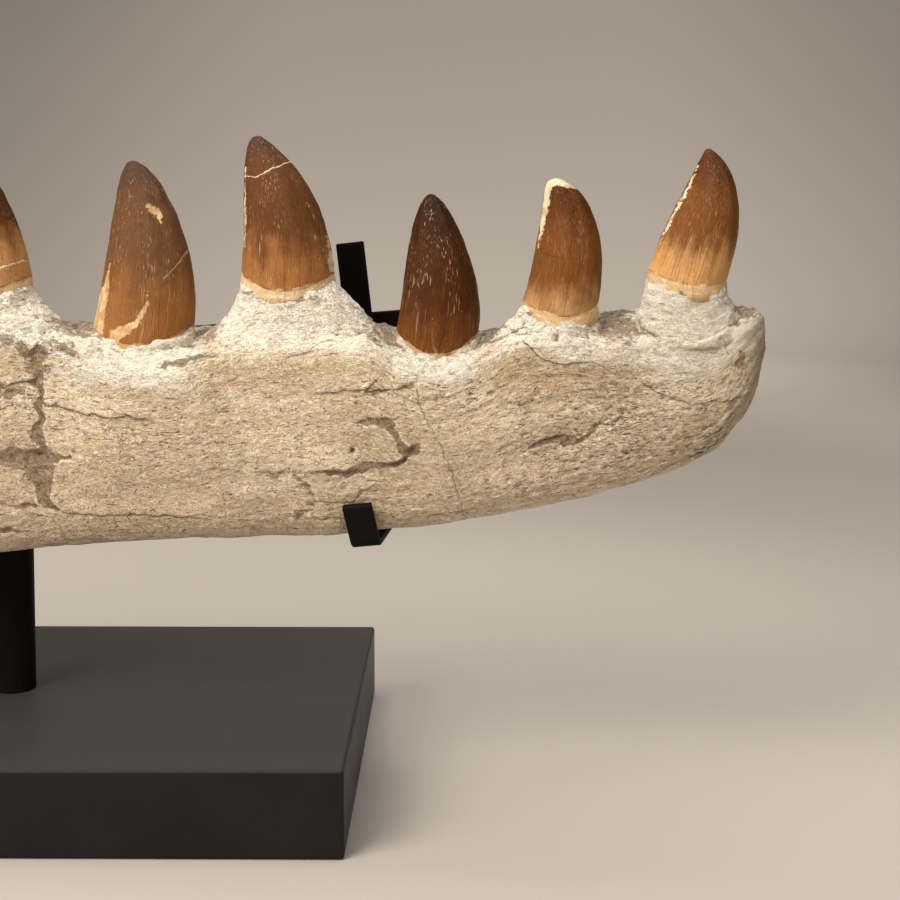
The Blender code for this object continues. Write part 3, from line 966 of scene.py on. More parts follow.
class EnamelMaterial:
    """A crown's material, from its attributes and from patterns that colour and relief share."""

    def __init__(self, name: str, finish: EnamelFinish) -> None:
        """Start the material, read the attributes and set up the patterns.

        Args:
            name: The material's name.
            finish: The crown's colours, wear and sizes.
        """
        self.finish = finish
        self.graph = graph = NodeGraph(name)
        self.place = graph.millimetres()
        self.share, _, self.root = graph.parts("crown")
        self.straight = graph.attribute("straight")
        self.chip, self.gap, self.force = graph.parts("marks")
        self.streak = graph.noise(self.straight, finish.streak_size, 4, 0.6, 0.2)
        self.wide = graph.noise(self.straight, finish.wide_size, 3, 0.55)
        self.cloud = graph.noise(self.place, finish.cloud_size, 4, 0.62)
        self.fine = graph.noise(self.place, finish.fine_size, 3, 0.6)

    def build(self) -> bpy.types.Material:
        """Lay the crown's enamel, wear, root and cracks over each other.

        Returns:
            The material.
        """
        graph, finish = self.graph, self.finish
        scratch, chipped = self.scratched(), self.chipped()
        rooted, root_colour = self.rooted()
        line = self.crack_line()
        colour = graph.mix(graph.times(scratch, finish.scratch_cover), self.enamel(), finish.chip)
        specks = graph.span(graph.noise(self.place, finish.speck_size, 2), 0.72, 0.78)
        colour = graph.mix(graph.times(specks, 0.5 * finish.scratches), colour, finish.chip)
        colour = graph.mix(chipped, colour, self.bare())
        colour = graph.mix(rooted, colour, root_colour)
        for sign, cover, crack_colour in ((1.0, 0.8, finish.tip), (-1.0, 0.9, finish.chip)):
            share = graph.times(line, graph.times(self.force, sign), clamp=True)
            colour = graph.mix(graph.times(share, cover), colour, crack_colour)
        colour = graph.shaded(colour, self.fine, 0.86, 1.1)
        worn = graph.math("MAXIMUM", chipped, rooted)
        duller = graph.add(graph.times(worn, 0.35), graph.sway(self.cloud, 0.25))
        rough = graph.add(finish.roughness, duller)
        relief = graph.pile((self.streak, 2.0), (self.wide, 1.4),
                            (self.fine, graph.span(worn, 0, 1, 0.2, 0.9)), (chipped, -0.9),
                            (graph.add(line, scratch), -0.3))
        return graph.finish(base_color=colour, roughness=rough, specular_ior_level=finish.shine,
                            normal=graph.bump(relief, 0.7, finish.relief_depth))

    def enamel(self) -> Socket:
        """Grade the enamel from its base to its tip, with streaks along it.

        Returns:
            The colour.
        """
        graph, finish = self.graph, self.finish
        drift = graph.add(graph.sway(self.cloud, 0.3), graph.sway(self.wide, 0.34))
        level = graph.add(self.share, drift)
        colour = graph.tint(finish.base, finish.middle, level, finish.base_end - 0.12,
                            finish.base_end + 0.2)
        colour = graph.tint(colour, finish.tip, level, finish.tip_start - 0.28, finish.tip_start + 0.22)
        colour = graph.tint(colour, finish.tip, self.streak, 0.52, 0.74, 0.4)
        return graph.tint(colour, finish.base, self.streak, 0.46, 0.26, 0.24)

    def scratched(self) -> Socket:
        """Draw the fine pale scratches along the crown.

        Returns:
            The scratches, 0 to 1.
        """
        graph, finish = self.graph, self.finish
        lines = graph.span(graph.noise(self.straight, finish.line_size, 2, 0.5), 0.58, 0.7)
        field = graph.span(graph.noise(self.straight, finish.line_field_size, 2), 0.4, 0.6)
        return graph.times(graph.times(lines, field), finish.scratches)

    def chipped(self) -> Socket:
        """Find where the enamel has chipped off, with a ragged edge.

        Returns:
            The chips, 0 to 1.
        """
        graph, finish = self.graph, self.finish
        ragged = graph.sway(graph.noise(self.place, finish.chip_edge_size, 5, 0.68), 3.4)
        return graph.span(graph.add(self.chip, ragged), -0.1, 0.3)

    def bare(self) -> Socket:
        """Colour the bare tooth in the chips.

        Returns:
            The colour.
        """
        graph, finish = self.graph, self.finish
        bare = graph.tint(finish.chip, finish.root, self.cloud, 0.42, 0.6)
        flakes = graph.noise(self.straight, finish.flake_size, 4, 0.7)
        return graph.tint(bare, finish.base, flakes, 0.52, 0.7, 0.75)

    def rooted(self) -> tuple[Socket, Socket]:
        """Find where the root shows under the enamel, and colour it.

        Returns:
            The root's share, 0 to 1, and its colour.
        """
        graph, finish = self.graph, self.finish
        layered = graph.noise(self.straight, finish.layer_size, 4, 0.65)
        ragged = graph.add(graph.sway(layered, 1.0), graph.sway(self.cloud, 1.5))
        rooted = graph.span(graph.add(self.root, ragged), 0.35, 0.7)
        colour = graph.tint(finish.root, finish.chip, layered, 0.5, 0.7)
        stains = graph.noise(self.place, finish.root_stain_size, 4, 0.65)
        return rooted, graph.tint(colour, finish.base, stains, 0.54, 0.7, 0.7)

    def crack_line(self) -> Socket:
        """Draw the thin, jagged cracks, dark and pale alike.

        Returns:
            The cracks, 0 to 1.
        """
        graph, finish = self.graph, self.finish
        jagged = graph.sway(graph.noise(self.place, finish.crack_size, 3, 0.6), 1.6)
        jagged = graph.add(jagged, graph.sway(self.fine, 0.3))
        distance = graph.math("ABSOLUTE", graph.add(self.gap, jagged))
        return graph.span(distance, 0.24, 0.07)


@dataclass(frozen=True)
class Pedestal:
    """Bone that carries a crown: how far its foot spreads, how hollow its flanks are, and its foot."""

    back: float
    front: float
    side: float
    foot: float
    back_power: float = 1.8
    front_power: float = 1.8
    under: float = 1.7
    side_power: float = 1.6


@dataclass(frozen=True)
class Crown:
    """One tooth crown, drawn by a curve for its back edge and one for its front edge, tip first."""

    number: int
    back: tuple[tuple[float, float], ...]
    front: tuple[tuple[float, float], ...]
    breadth: float
    drop: float
    lean: float
    pedestal: Pedestal
    finish: EnamelFinish = EnamelFinish()
    chips: tuple[Seam, ...] = ()
    cracks: tuple[Seam, ...] = ()
    root_depth: float = 5.0
    root_flare: float = 0.25
    enamel_edge: float = 0.1

    @property
    def name(self) -> str:
        """Return the name of the crown's node in the model."""
        return f"tooth_{self.number:02d}"

    def outline(self, t: float) -> tuple[Array, Array, float]:
        """Return the section's middle, direction and half length.

        Args:
            t: Place along the crown.

        Returns:
            The middle, the unit vector from the back edge to the front edge, and the half length.
        """
        back, front = bezier(self.back, np.array(t)), bezier(self.front, np.array(t))
        across = (front - back) / 2
        half = float(np.linalg.norm(across))
        return (back + front) / 2, across / half, half

    def ring(self, t: float, count: int, grow: float = 0.0) -> Array:
        """Return one section; t runs from 0 at the tip to 1 at the enamel's margin.

        Args:
            t: Place along the crown.
            count: Number of points.
            grow: How far the section is let out.

        Returns:
            Points, one row each.
        """
        centre, along, half = self.outline(t)
        turn = 2 * math.pi * np.arange(count) / count
        c, s = np.cos(turn), np.sin(turn)
        reach = (half + grow) * c
        y = JawForm.middle_y + self.lean * (1 - t) ** 2 + (half * self.breadth + grow) * s
        z = centre[1] + along[1] * reach - self.drop * t ** 4 * s * s
        return np.stack([centre[0] + along[0] * reach, y, z], axis=1)


CROWNS = (
    Crown(1, ((231, 210.6), (226.4, 200.5), (218.5, 189), (213.5, 173)),
          ((233.4, 210.6), (243.9, 202), (242.7, 183.5), (237.7, 170)), 0.84, 2.6, 2,
          Pedestal(5, 10, 1.6, 150, 0.8, 1.3),
          EnamelFinish(root=(0.64, 0.43, 0.22), base=(0.66, 0.34, 0.125), middle=(0.19, 0.066, 0.016),
                       tip=(0.085, 0.027, 0.007), tip_start=0.72, base_end=0.14, scratches=0.6),
          chips=(Seam(((216.3, 181, 0.2), (218.7, 186, 0.5), (221.8, 192, 0.55), (226.1, 200, 0.3),
                       (228.8, 206, 0.1))),
                 Seam(((241.6, 185, 0.5), (242.4, 190, 0.7), (242.8, 195, 0.2))))),
    Crown(2, ((181.5, 200.6), (180.5, 196), (178.4, 176), (174, 163.2)),
          ((187.9, 200.3), (197.2, 196), (200.5, 177), (197.3, 162.2)), 0.9, 3.6, 2.5,
          Pedestal(16, 6, 2.0, 147, 1.2, 1.6, 0.9),
          EnamelFinish(root=(0.64, 0.41, 0.2), base=(0.54, 0.30, 0.12), middle=(0.19, 0.066, 0.014),
                       tip=(0.08, 0.023, 0.004), tip_start=0.62, base_end=0.03),
          chips=(Seam(((180.4, 201.5, 1.9), (184.8, 201.2, 1.9), (189.4, 199.4, 0.8), (190.6, 198.4, 0.2))),
                 Seam(((181.3, 201, 1.6), (180.9, 194, 1.2), (179.8, 187, 0.8), (178.5, 180, 0.2)))),
          cracks=(Seam(((179.5, 178.6, 0.2), (184, 177.2, 0.2), (188, 176.8, 0.2)), dark=0.5),)),
    Crown(3, ((143.3, 196.2), (138.6, 190.5), (137.1, 171.5), (134.3, 153.4)),
          ((146.4, 196.2), (153.2, 191.5), (162.6, 166), (159.6, 153.4)), 0.88, 6, 2.5,
          Pedestal(6, 5, 3, 139, under=0.3),
          EnamelFinish(root=(0.50, 0.32, 0.16), base=(0.17, 0.057, 0.012), middle=(0.070, 0.021, 0.005),
                       tip=(0.034, 0.012, 0.005), base_end=0.08, tip_start=0.68, scratches=1.0,
                       roughness=0.32)),
    Crown(4, ((88.2, 214.4), (84.9, 210), (87.4, 191), (85.2, 172)),
          ((92, 214.4), (100.9, 208), (112.3, 196), (114.2, 172)), 0.9, 5, 3,
          Pedestal(17, 18, 4.2, 149, 1.8, 0.85),
          EnamelFinish(base=(0.40, 0.165, 0.05), middle=(0.13, 0.047, 0.014), tip=(0.062, 0.027, 0.013),
                       tip_start=0.84, base_end=0.08, scratches=0.9),
          chips=(Seam(((86.2, 205, 0.7), (86.2, 198, 0.4), (86.5, 190, 0.6), (86.2, 180, 0.3))),
                 Seam(((110.2, 194, 0.2), (112.2, 187, 0.7), (113.6, 180, 1.0), (114.4, 173, 1.5)))),
          cracks=(Seam(((86.2, 202.4, 0.45), (90.8, 202.2, 0.35), (94, 203.9, 0.3), (100.5, 207, 0.2)),
                       dark=-1.0),)),
    Crown(5, ((48.4, 206.5), (45.0, 199.5), (43.7, 179), (38.2, 155)),
          ((52.6, 206.5), (60.4, 203.4), (72.8, 177), (69.4, 155)), 0.86, 4.5, 3,
          Pedestal(6, 4, 3.2, 142, under=0.3),
          EnamelFinish(base=(0.32, 0.13, 0.038), middle=(0.155, 0.067, 0.027), tip=(0.082, 0.042, 0.023),
                       tip_start=0.72, base_end=0.16, chip=(0.76, 0.54, 0.3), root=(0.56, 0.33, 0.145),
                       scratches=0.9),
          chips=(Seam(((38.5, 155, 4.6), (41, 162, 3.2), (43.5, 168, 1.4), (44.5, 175, 0.2))),
                 Seam(((47, 153, 2.2), (54, 157, 1.0), (57.5, 163, 0.6), (58, 168, 0.1))),
                 Seam(((56.6, 193.6, 0.4), (58.4, 192, 1.5), (60, 190.6, 1.0), (60.8, 188, 0.2)))),
          cracks=(Seam(((54.6, 191.5, 0.3), (55.6, 182, 0.35), (57.4, 173, 0.3), (56.5, 160, 0.2)),
                       dark=0.6),
                  Seam(((62.5, 171, 0.2), (66, 175, 0.35), (68.6, 180, 0.3)), dark=-0.5))),
    Crown(6, ((-2.6, 208.6), (-7.2, 201), (-8.5, 186), (-12.5, 171)),
          ((-0.2, 208.6), (9.3, 202), (15.2, 187), (18.4, 171)), 0.88, 4.5, 3,
          Pedestal(15, 19, 3.6, 151, 1.6, 1.7),
          EnamelFinish(base=(0.46, 0.22, 0.08), middle=(0.105, 0.033, 0.008), tip=(0.05, 0.015, 0.004),
                       tip_start=0.6, base_end=0.22),
          cracks=(Seam(((2, 172, 1.0), (10, 173.5, 0.8), (17, 176, 0.6)), dark=-1.0),)),
    Crown(7, ((-53.3, 198.6), (-57.8, 191), (-60, 176), (-63.2, 159)),
          ((-51.1, 198.6), (-42.3, 192), (-36.3, 176), (-34.8, 159)), 0.88, 5, 3,
          Pedestal(9, 8, 3, 147),
          EnamelFinish(base=(0.26, 0.1, 0.03), middle=(0.12, 0.038, 0.01), scratches=0.7)),
    Crown(8, ((-102.8, 213.6), (-106.4, 206), (-108, 191), (-110.6, 174)),
          ((-100.2, 213.6), (-90.7, 207), (-83, 192), (-81.6, 174)), 0.9, 4.5, 3,
          Pedestal(15, 16, 3.6, 151, 1.7, 1.1),
          EnamelFinish(base=(0.46, 0.2, 0.062), middle=(0.18, 0.06, 0.016), base_end=0.18)),
    Crown(9, ((-149.6, 203.6), (-153.6, 196), (-155.6, 182), (-158.4, 167)),
          ((-147.4, 203.6), (-138.4, 198), (-131.4, 183), (-130.2, 167)), 0.9, 4.5, 3,
          Pedestal(13, 14, 3.4, 151, 1.5, 1.4),
          EnamelFinish(base=(0.40, 0.17, 0.052), middle=(0.165, 0.055, 0.015)),
          chips=(Seam(((-142, 199, 0.5), (-137.5, 194, 1.6), (-134.5, 189, 0.6))),)),
    Crown(10, ((-195, 191.6), (-198.8, 185), (-200.4, 174), (-202.2, 162)),
          ((-193, 191.6), (-185.2, 187), (-178, 175), (-176.6, 162)), 0.92, 4, 2.5,
          Pedestal(11, 11, 3, 149),
          EnamelFinish(base=(0.43, 0.19, 0.06), middle=(0.18, 0.062, 0.017), base_end=0.2)),
)

SEAMS = (
    # Crevices filled with rock
    Seam(((22.5, 149, 3.0), (23.5, 146.5, 3.6), (24, 141.5, 1.3), (22.8, 137.5, 1.6), (24.5, 133.5, 1.1),
          (24, 128, 1.0), (23, 124, 1.5), (24.5, 120, 1.6), (24.5, 115.5, 4.2), (25, 110.5, 4.3),
          (25.5, 105.5, 3.3), (27, 102, 2.2), (30.5, 98.5, 0.6)), depth=2.2, rock=1.0),
    Seam(((-20, 114.5, 1.5), (-8, 116.5, 2.4), (4, 115.8, 2.9), (12.5, 116, 2.7), (20, 115.5, 3.2),
          (26, 115.8, 2.6), (33.5, 116.2, 0.5)), depth=2.0, rock=1.0),
    Seam(((-6, 134.5, 1.0), (4, 135, 1.8), (12, 134.6, 1.8), (20, 134.8, 1.6)), depth=1.0, rock=0.7),
    Seam(((-4, 101.8, 0.5), (8, 101.4, 0.9), (19.5, 100.6, 0.9), (27.5, 100, 0.5)), depth=0.8, rock=0.8),
    Seam(((4, 92.5, 0.6), (11, 91.8, 1.4), (16.5, 91, 0.4)), depth=0.7, rock=0.8),
    Seam(((121, 128.5, 0.3), (125.5, 127, 1.0), (131, 126.2, 1.3), (134.5, 123, 1.4), (139, 119.3, 1.5),
          (138, 116.4, 0.8)), depth=1.5, rock=1.0),
    Seam(((138, 116.4, 0.7), (133, 114.3, 1.1), (127, 112.6, 1.5), (118.5, 111.6, 1.5), (113, 111, 0.5)),
         depth=1.6, rock=0.9),
    Seam(((90, 112, 0.4), (93, 111, 1.2), (98, 110.8, 1.7), (104.5, 110.4, 0.8)), depth=1.3, rock=0.6),
    Seam(((105, 111, 0.8), (107, 105.5, 0.7), (108, 102.5, 0.6), (104.5, 98.5, 1.3), (103, 94, 0.5)),
         depth=0.9, rock=0.7),
    Seam(((174.5, 116.8, 0.3), (178, 119, 1.3), (184, 120.6, 1.4), (190, 121.3, 0.9), (197, 124.6, 0.6),
          (205, 129.5, 0.3)), depth=1.8, rock=1.0),
    Seam(((62, 143.6, 0.7), (66, 144.6, 1.3), (71.5, 145.6, 0.8), (80, 147.2, 0.4)), depth=1.3, rock=0.8),
    Seam(((229.5, 133, 0.5), (231.2, 130.5, 0.8), (229.6, 128.6, 0.4)), depth=0.6, rock=0.9),
    Seam(((240.6, 149, 0.6), (242, 146.5, 1.4), (240, 143, 1.1)), depth=0.7, rock=0.9),
    Seam(((223.5, 112.5, 0.3), (228, 115.6, 0.7), (233, 119.4, 0.6), (238, 124, 0.3)), depth=1.0, rock=0.6),
    # Flake edges and steps
    Seam(line((57.5, 128.3), (52.5, 129.3), (47, 128.5), (40.5, 129.5), (33, 131.4), (26, 132), width=0.5),
         depth=0.7, step=-0.9, reach=7),
    Seam(line((21.5, 139.6), (17.5, 138.6), (13, 138), (4, 137.2), (-8, 138), width=0.5), depth=0.8,
         step=-1.0, reach=8),
    Seam(line((27.5, 100), (32.5, 98), (42, 97.7), (51.5, 97.6), (63, 97.2), (73.5, 96.2), width=0.3),
         depth=0.6, step=0.5, reach=6),
    Seam(line((128.5, 139.4), (125.5, 137), (118, 136.6), (112, 136), width=0.4), depth=0.5, step=-0.7),
    Seam(line((139.5, 139), (132.5, 136.8), (125.5, 136.2), width=0.5), depth=0.7, step=-1.0, reach=7),
    Seam(line((139, 119.5), (138, 116), (133, 114), (127, 112.4), (118, 111.6), (108, 112), width=0.3),
         depth=0.3, dark=0.3, step=-1.3, reach=9),
    Seam(line((204, 130), (197, 125.4), (190, 122), (184, 121.6), (178, 120), (174, 117.4), width=0.3),
         depth=0.4, dark=0.5, step=1.1, reach=10),
    Seam(line((212, 154.5), (214, 153), (220, 152.4), (227, 151), (232, 153), (236.5, 155.5), (244, 157.5),
              width=0.35), depth=0.3, dark=0.15, step=-1.2, reach=6),
    Seam(line((174, 151.5), (177.5, 148), (181, 145.5), (185.5, 144.5), (191, 145), width=0.3), depth=0.6,
         step=0.8, reach=5),
    Seam(line((191, 145), (195.5, 145), (200.5, 142.5), (202, 141), width=0.25), depth=0.4, dark=0.7),
    # Fine cracks
    Seam(line((51, 96.5), (57.5, 89.5), width=0.18), dark=0.8),
    Seam(line((101.5, 146.5), (106.5, 148), (111, 151), (115, 152), width=0.4), dark=0.7, depth=0.6),
    Seam(line((109, 102), (114, 101.8), (119.5, 101.5), (127, 107), width=0.25), depth=0.6, step=0.4,
         reach=4),
    Seam(line((107, 96), (119.5, 96), width=0.3), depth=0.6, step=0.4, reach=4),
    Seam(line((141, 137.5), (141.5, 133), (143.5, 128.5), (148.5, 119), (151, 112), (153, 106),
              (155, 99), (156.3, 95), width=0.17), dark=0.8, depth=0.3, broken=0.1),
    Seam(line((144.5, 96.5), (150.5, 97.5), (159, 98.5), width=0.3), dark=0.6),
    Seam(line((210.5, 138), (216.5, 134.8), (222.5, 133), (226.5, 132), (229.5, 133), (237.5, 132.5),
              (244, 134.8), width=0.22), depth=0.5, step=0.35, reach=6),
    Seam(line((226, 114), (231.5, 117), (237.5, 122.5), width=0.3), depth=0.6, step=0.6, reach=3),
    Seam(line((230.5, 121), (235, 124), (239, 129), width=0.3), depth=0.6, step=0.6, reach=3),
    Seam(line((28, 96), (29.5, 92), (31, 86), width=0.15), dark=0.4, depth=0.2),
    Seam(line((234.5, 152.5), (236, 150), (237.5, 147.5), width=0.2), dark=0.7),
    Seam(line((44.5, 125), (42, 122.4), (39, 120.5), width=0.25), dark=-0.6, depth=0.2),
    # The part beyond the photograph's edge, and the inner side
    Seam(((-70, 131, 0.5), (-64, 128, 1.5), (-58, 122, 1.2), (-57, 114, 2.2), (-61, 106, 1.4),
          (-58, 98, 0.4)), depth=1.7, rock=1.0),
    Seam(((-150, 100, 0.4), (-142, 103, 1.2), (-132, 102, 1.8), (-121, 104, 1.0), (-112, 103, 0.4)),
         depth=1.5, rock=0.9),
    Seam(line((-130, 133), (-118, 135.5), (-104, 134), (-90, 136), (-78, 134.6), width=0.4), depth=0.6,
         step=0.9, reach=9),
    Seam(line((-225, 140), (-210, 136), (-196, 137.5), (-180, 133), width=0.4), depth=0.7, step=-0.9),
    Seam(line((-172, 88), (-150, 90), (-120, 91.5), (-96, 90), width=0.3), depth=0.6, step=0.6),
    Seam(line((-36, 150), (-33, 138), (-36, 126), (-30, 110), (-31, 96), (-28, 84), width=0.18), dark=0.8,
         depth=0.3),
    Seam(line((-168, 150), (-171, 132), (-166, 116), (-170, 98), (-166, 80), width=0.2), dark=0.8),
    Seam(((-235, 118, 1.5), (-224, 120, 2.2), (-212, 116, 1.4), (-204, 118, 0.4)), depth=1.6, rock=0.9),
    Seam(((-120, 128, 0.5), (-104, 126, 1.6), (-90, 128, 2.0), (-72, 125, 1.1), (-60, 127, 0.4)),
         depth=1.5, rock=1.0, side=Side.INNER),
    Seam(((20, 150, 0.6), (26, 142, 2.0), (22, 132, 1.4), (27, 121, 2.4), (23, 110, 1.2), (26, 100, 0.5)),
         depth=1.8, rock=1.0, side=Side.INNER),
    Seam(line((-200, 112), (-150, 107), (-90, 104), (-30, 105), (40, 107), (100, 108), (160, 113),
              (205, 125), width=0.5), depth=1.0, dark=0.8, step=-0.7, reach=8, side=Side.INNER),
    Seam(line((60, 138), (74, 135), (92, 137), (110, 134), width=0.3), depth=0.5, step=0.7,
         side=Side.INNER),
    Seam(line((-180, 92), (-120, 89), (-60, 92), (0, 94), width=0.3), depth=0.5, dark=0.7, side=Side.INNER),
    Seam(line((142, 140), (145, 128), (150, 116), (152, 104), width=0.18), dark=0.9, side=Side.INNER),
    Seam(((168, 132, 0.5), (178, 134, 1.4), (190, 137, 1.0), (200, 141, 0.4)), depth=1.2, rock=0.9,
         side=Side.INNER),
)


def patches(tone: Tone, side: Side, *sizes: tuple[float, ...]) -> tuple[Patch, ...]:
    """Make patches of one tone on one side from their bumps' sizes."""
    return tuple(Patch(tone, bump, side) for bump in bumps(*sizes))


PATCHES = (
    *patches(Tone.TAN, Side.OUTER,
             (72, 135.5, 16, 3.2, -0.02, 0.9), (49, 114, 12, 7, 0, 0.5), (90, 144, 24, 7, 0.05, 0.45),
             (112, 147, 12, 5, 0, 0.45), (123, 131.5, 6, 2.4, 0, 1.0), (152, 139, 14, 4, 0.1, 0.9),
             (128, 140.5, 14, 3, 0, 0.7), (177, 138, 10, 4.5, 0, 1.15), (168, 146, 9, 5, 0.2, 0.7),
             (195, 142, 11, 3, 0, 0.9), (212, 150, 4, 5, 0, 0.6), (246, 150, 5, 12, 0, 1.1),
             (222, 125, 11, 5, 0.3, 0.65), (10, 149, 12, 6, -0.2, 0.5), (15, 143, 8, 3, 0, 0.6),
             (160, 112, 26, 4, 0.1, 0.35), (30, 160, 7, 5, 0, 0.6), (-90, 139, 30, 6, 0, 0.8),
             (-180, 128, 22, 8, 0.1, 0.7), (-30, 104, 22, 6, 0, 0.5)),
    *patches(Tone.TAN, Side.INNER,
             (-120, 132, 36, 7, 0, 0.8), (40, 126, 44, 6, 0.05, 0.7), (190, 142, 26, 6, 0, 0.9)),
    *patches(Tone.CHALK, Side.OUTER,
             (50, 148.5, 17, 5, 0, 1.2), (102, 159, 20, 6.5, 0, 1.2), (142, 146, 11, 6, -0.25, 1.0),
             (180, 156, 14, 5, 0, 1.1), (224, 161, 14, 8, 0, 1.2), (222, 144, 13, 7, 0, 0.6),
             (22, 162, 12, 8, -0.4, 1.1), (188, 147, 6, 1.6, -0.1, 0.9), (48, 141, 22, 3, 0, 0.7),
             (34, 127, 8, 3, 0, 0.5), (96, 106.5, 12, 2.5, 0, 0.5), (-10, 160, 20, 8, 0, 1.1),
             (-96, 163, 22, 7, 0, 1.2), (-146, 160, 20, 6, 0, 1.1), (-48, 155, 18, 5, 0, 1.0),
             (226, 158, 13, 6, 0, 0.9), (236, 148, 10, 4, 0.1, 0.6), (78, 135, 30, 6, -0.05, 0.35),
             (-190, 157, 18, 5, 0, 1.0)),
    *patches(Tone.CHALK, Side.INNER,
             (0, 158, 240, 6, 0, 0.8)),
    *patches(Tone.ROCK, Side.OUTER,
             (98, 164.5, 12, 1.8, 0.05, 0.75), (226, 167.5, 11, 1.3, -0.1, 0.5),
             (11, 136.5, 9, 1.6, 0, 0.6), (33, 150, 8, 3.2, -0.5, 0.65), (13, 153, 10, 3, -0.4, 0.6),
             (50, 107, 4, 2, -0.4, 0.55), (205, 136, 9, 4, 0, 0.4), (203, 157, 7, 6, 0, 0.9),
             (128, 153, 4, 4, 0, 0.7), (178, 160, 3, 2, 0, 0.5), (160, 131, 5, 1.5, 0, 0.5),
             (75, 153, 5, 4, 0, 0.8), (-66, 150, 9, 5, 0.3, 0.6), (24, 112, 6, 9, 0, 0.62),
             (23, 145, 7, 5, 0, 0.7), (8, 116, 18, 3.6, 0, 0.6), (25, 128, 3, 9, 0, 0.45),
             (97, 111, 14, 2.2, 0, 0.55), (127, 113, 12, 2.0, 0.1, 0.6), (106, 103, 3.5, 6, 0, 0.5),
             (185, 121, 9, 2.2, 0.3, 0.55)),
)

PITS = bumps(
    (121, 118, 0.9, 1.0, 0, -1.8), (184, 153, 1.1, 1.0, 0, -1.8), (87, 111, 2.2, 5, 0.3, -1.1),
    (23, 147, 5, 2.6, 0, -1.6), (42, 150, 6, 3, 0, 0.8), (60.5, 150.5, 3, 1.4, 0, 1.4),
    (88, 104, 7, 2.5, 0, 0.9), (112, 105, 8, 2.2, 0, 0.9), (196, 156, 3, 2.5, 0, -1.2),
    (-20, 128, 1.2, 1.2, 0, -1.8), (-84, 122, 1.3, 1.2, 0, -1.8), (-136, 118, 1.2, 1.2, 0, -1.8),
)

COARSE = bumps(
    (206, 128, 34, 15, 0.3, 1.0), (152, 135, 26, 8, 0.0, 0.9), (230, 118, 12, 8, 0.4, 0.9),
    (204, 156, 9, 7, 0.0, 1.0), (64, 122, 26, 8, -0.1, 0.5), (30, 150, 26, 9, -0.3, 0.9),
    (14, 133, 14, 6, 0.0, 0.8), (178, 110, 30, 6, 0.3, 0.6), (-60, 118, 26, 16, 0.0, 0.7),
    (-150, 112, 30, 12, 0.0, 0.6), (-215, 122, 22, 18, 0.0, 0.6),
)


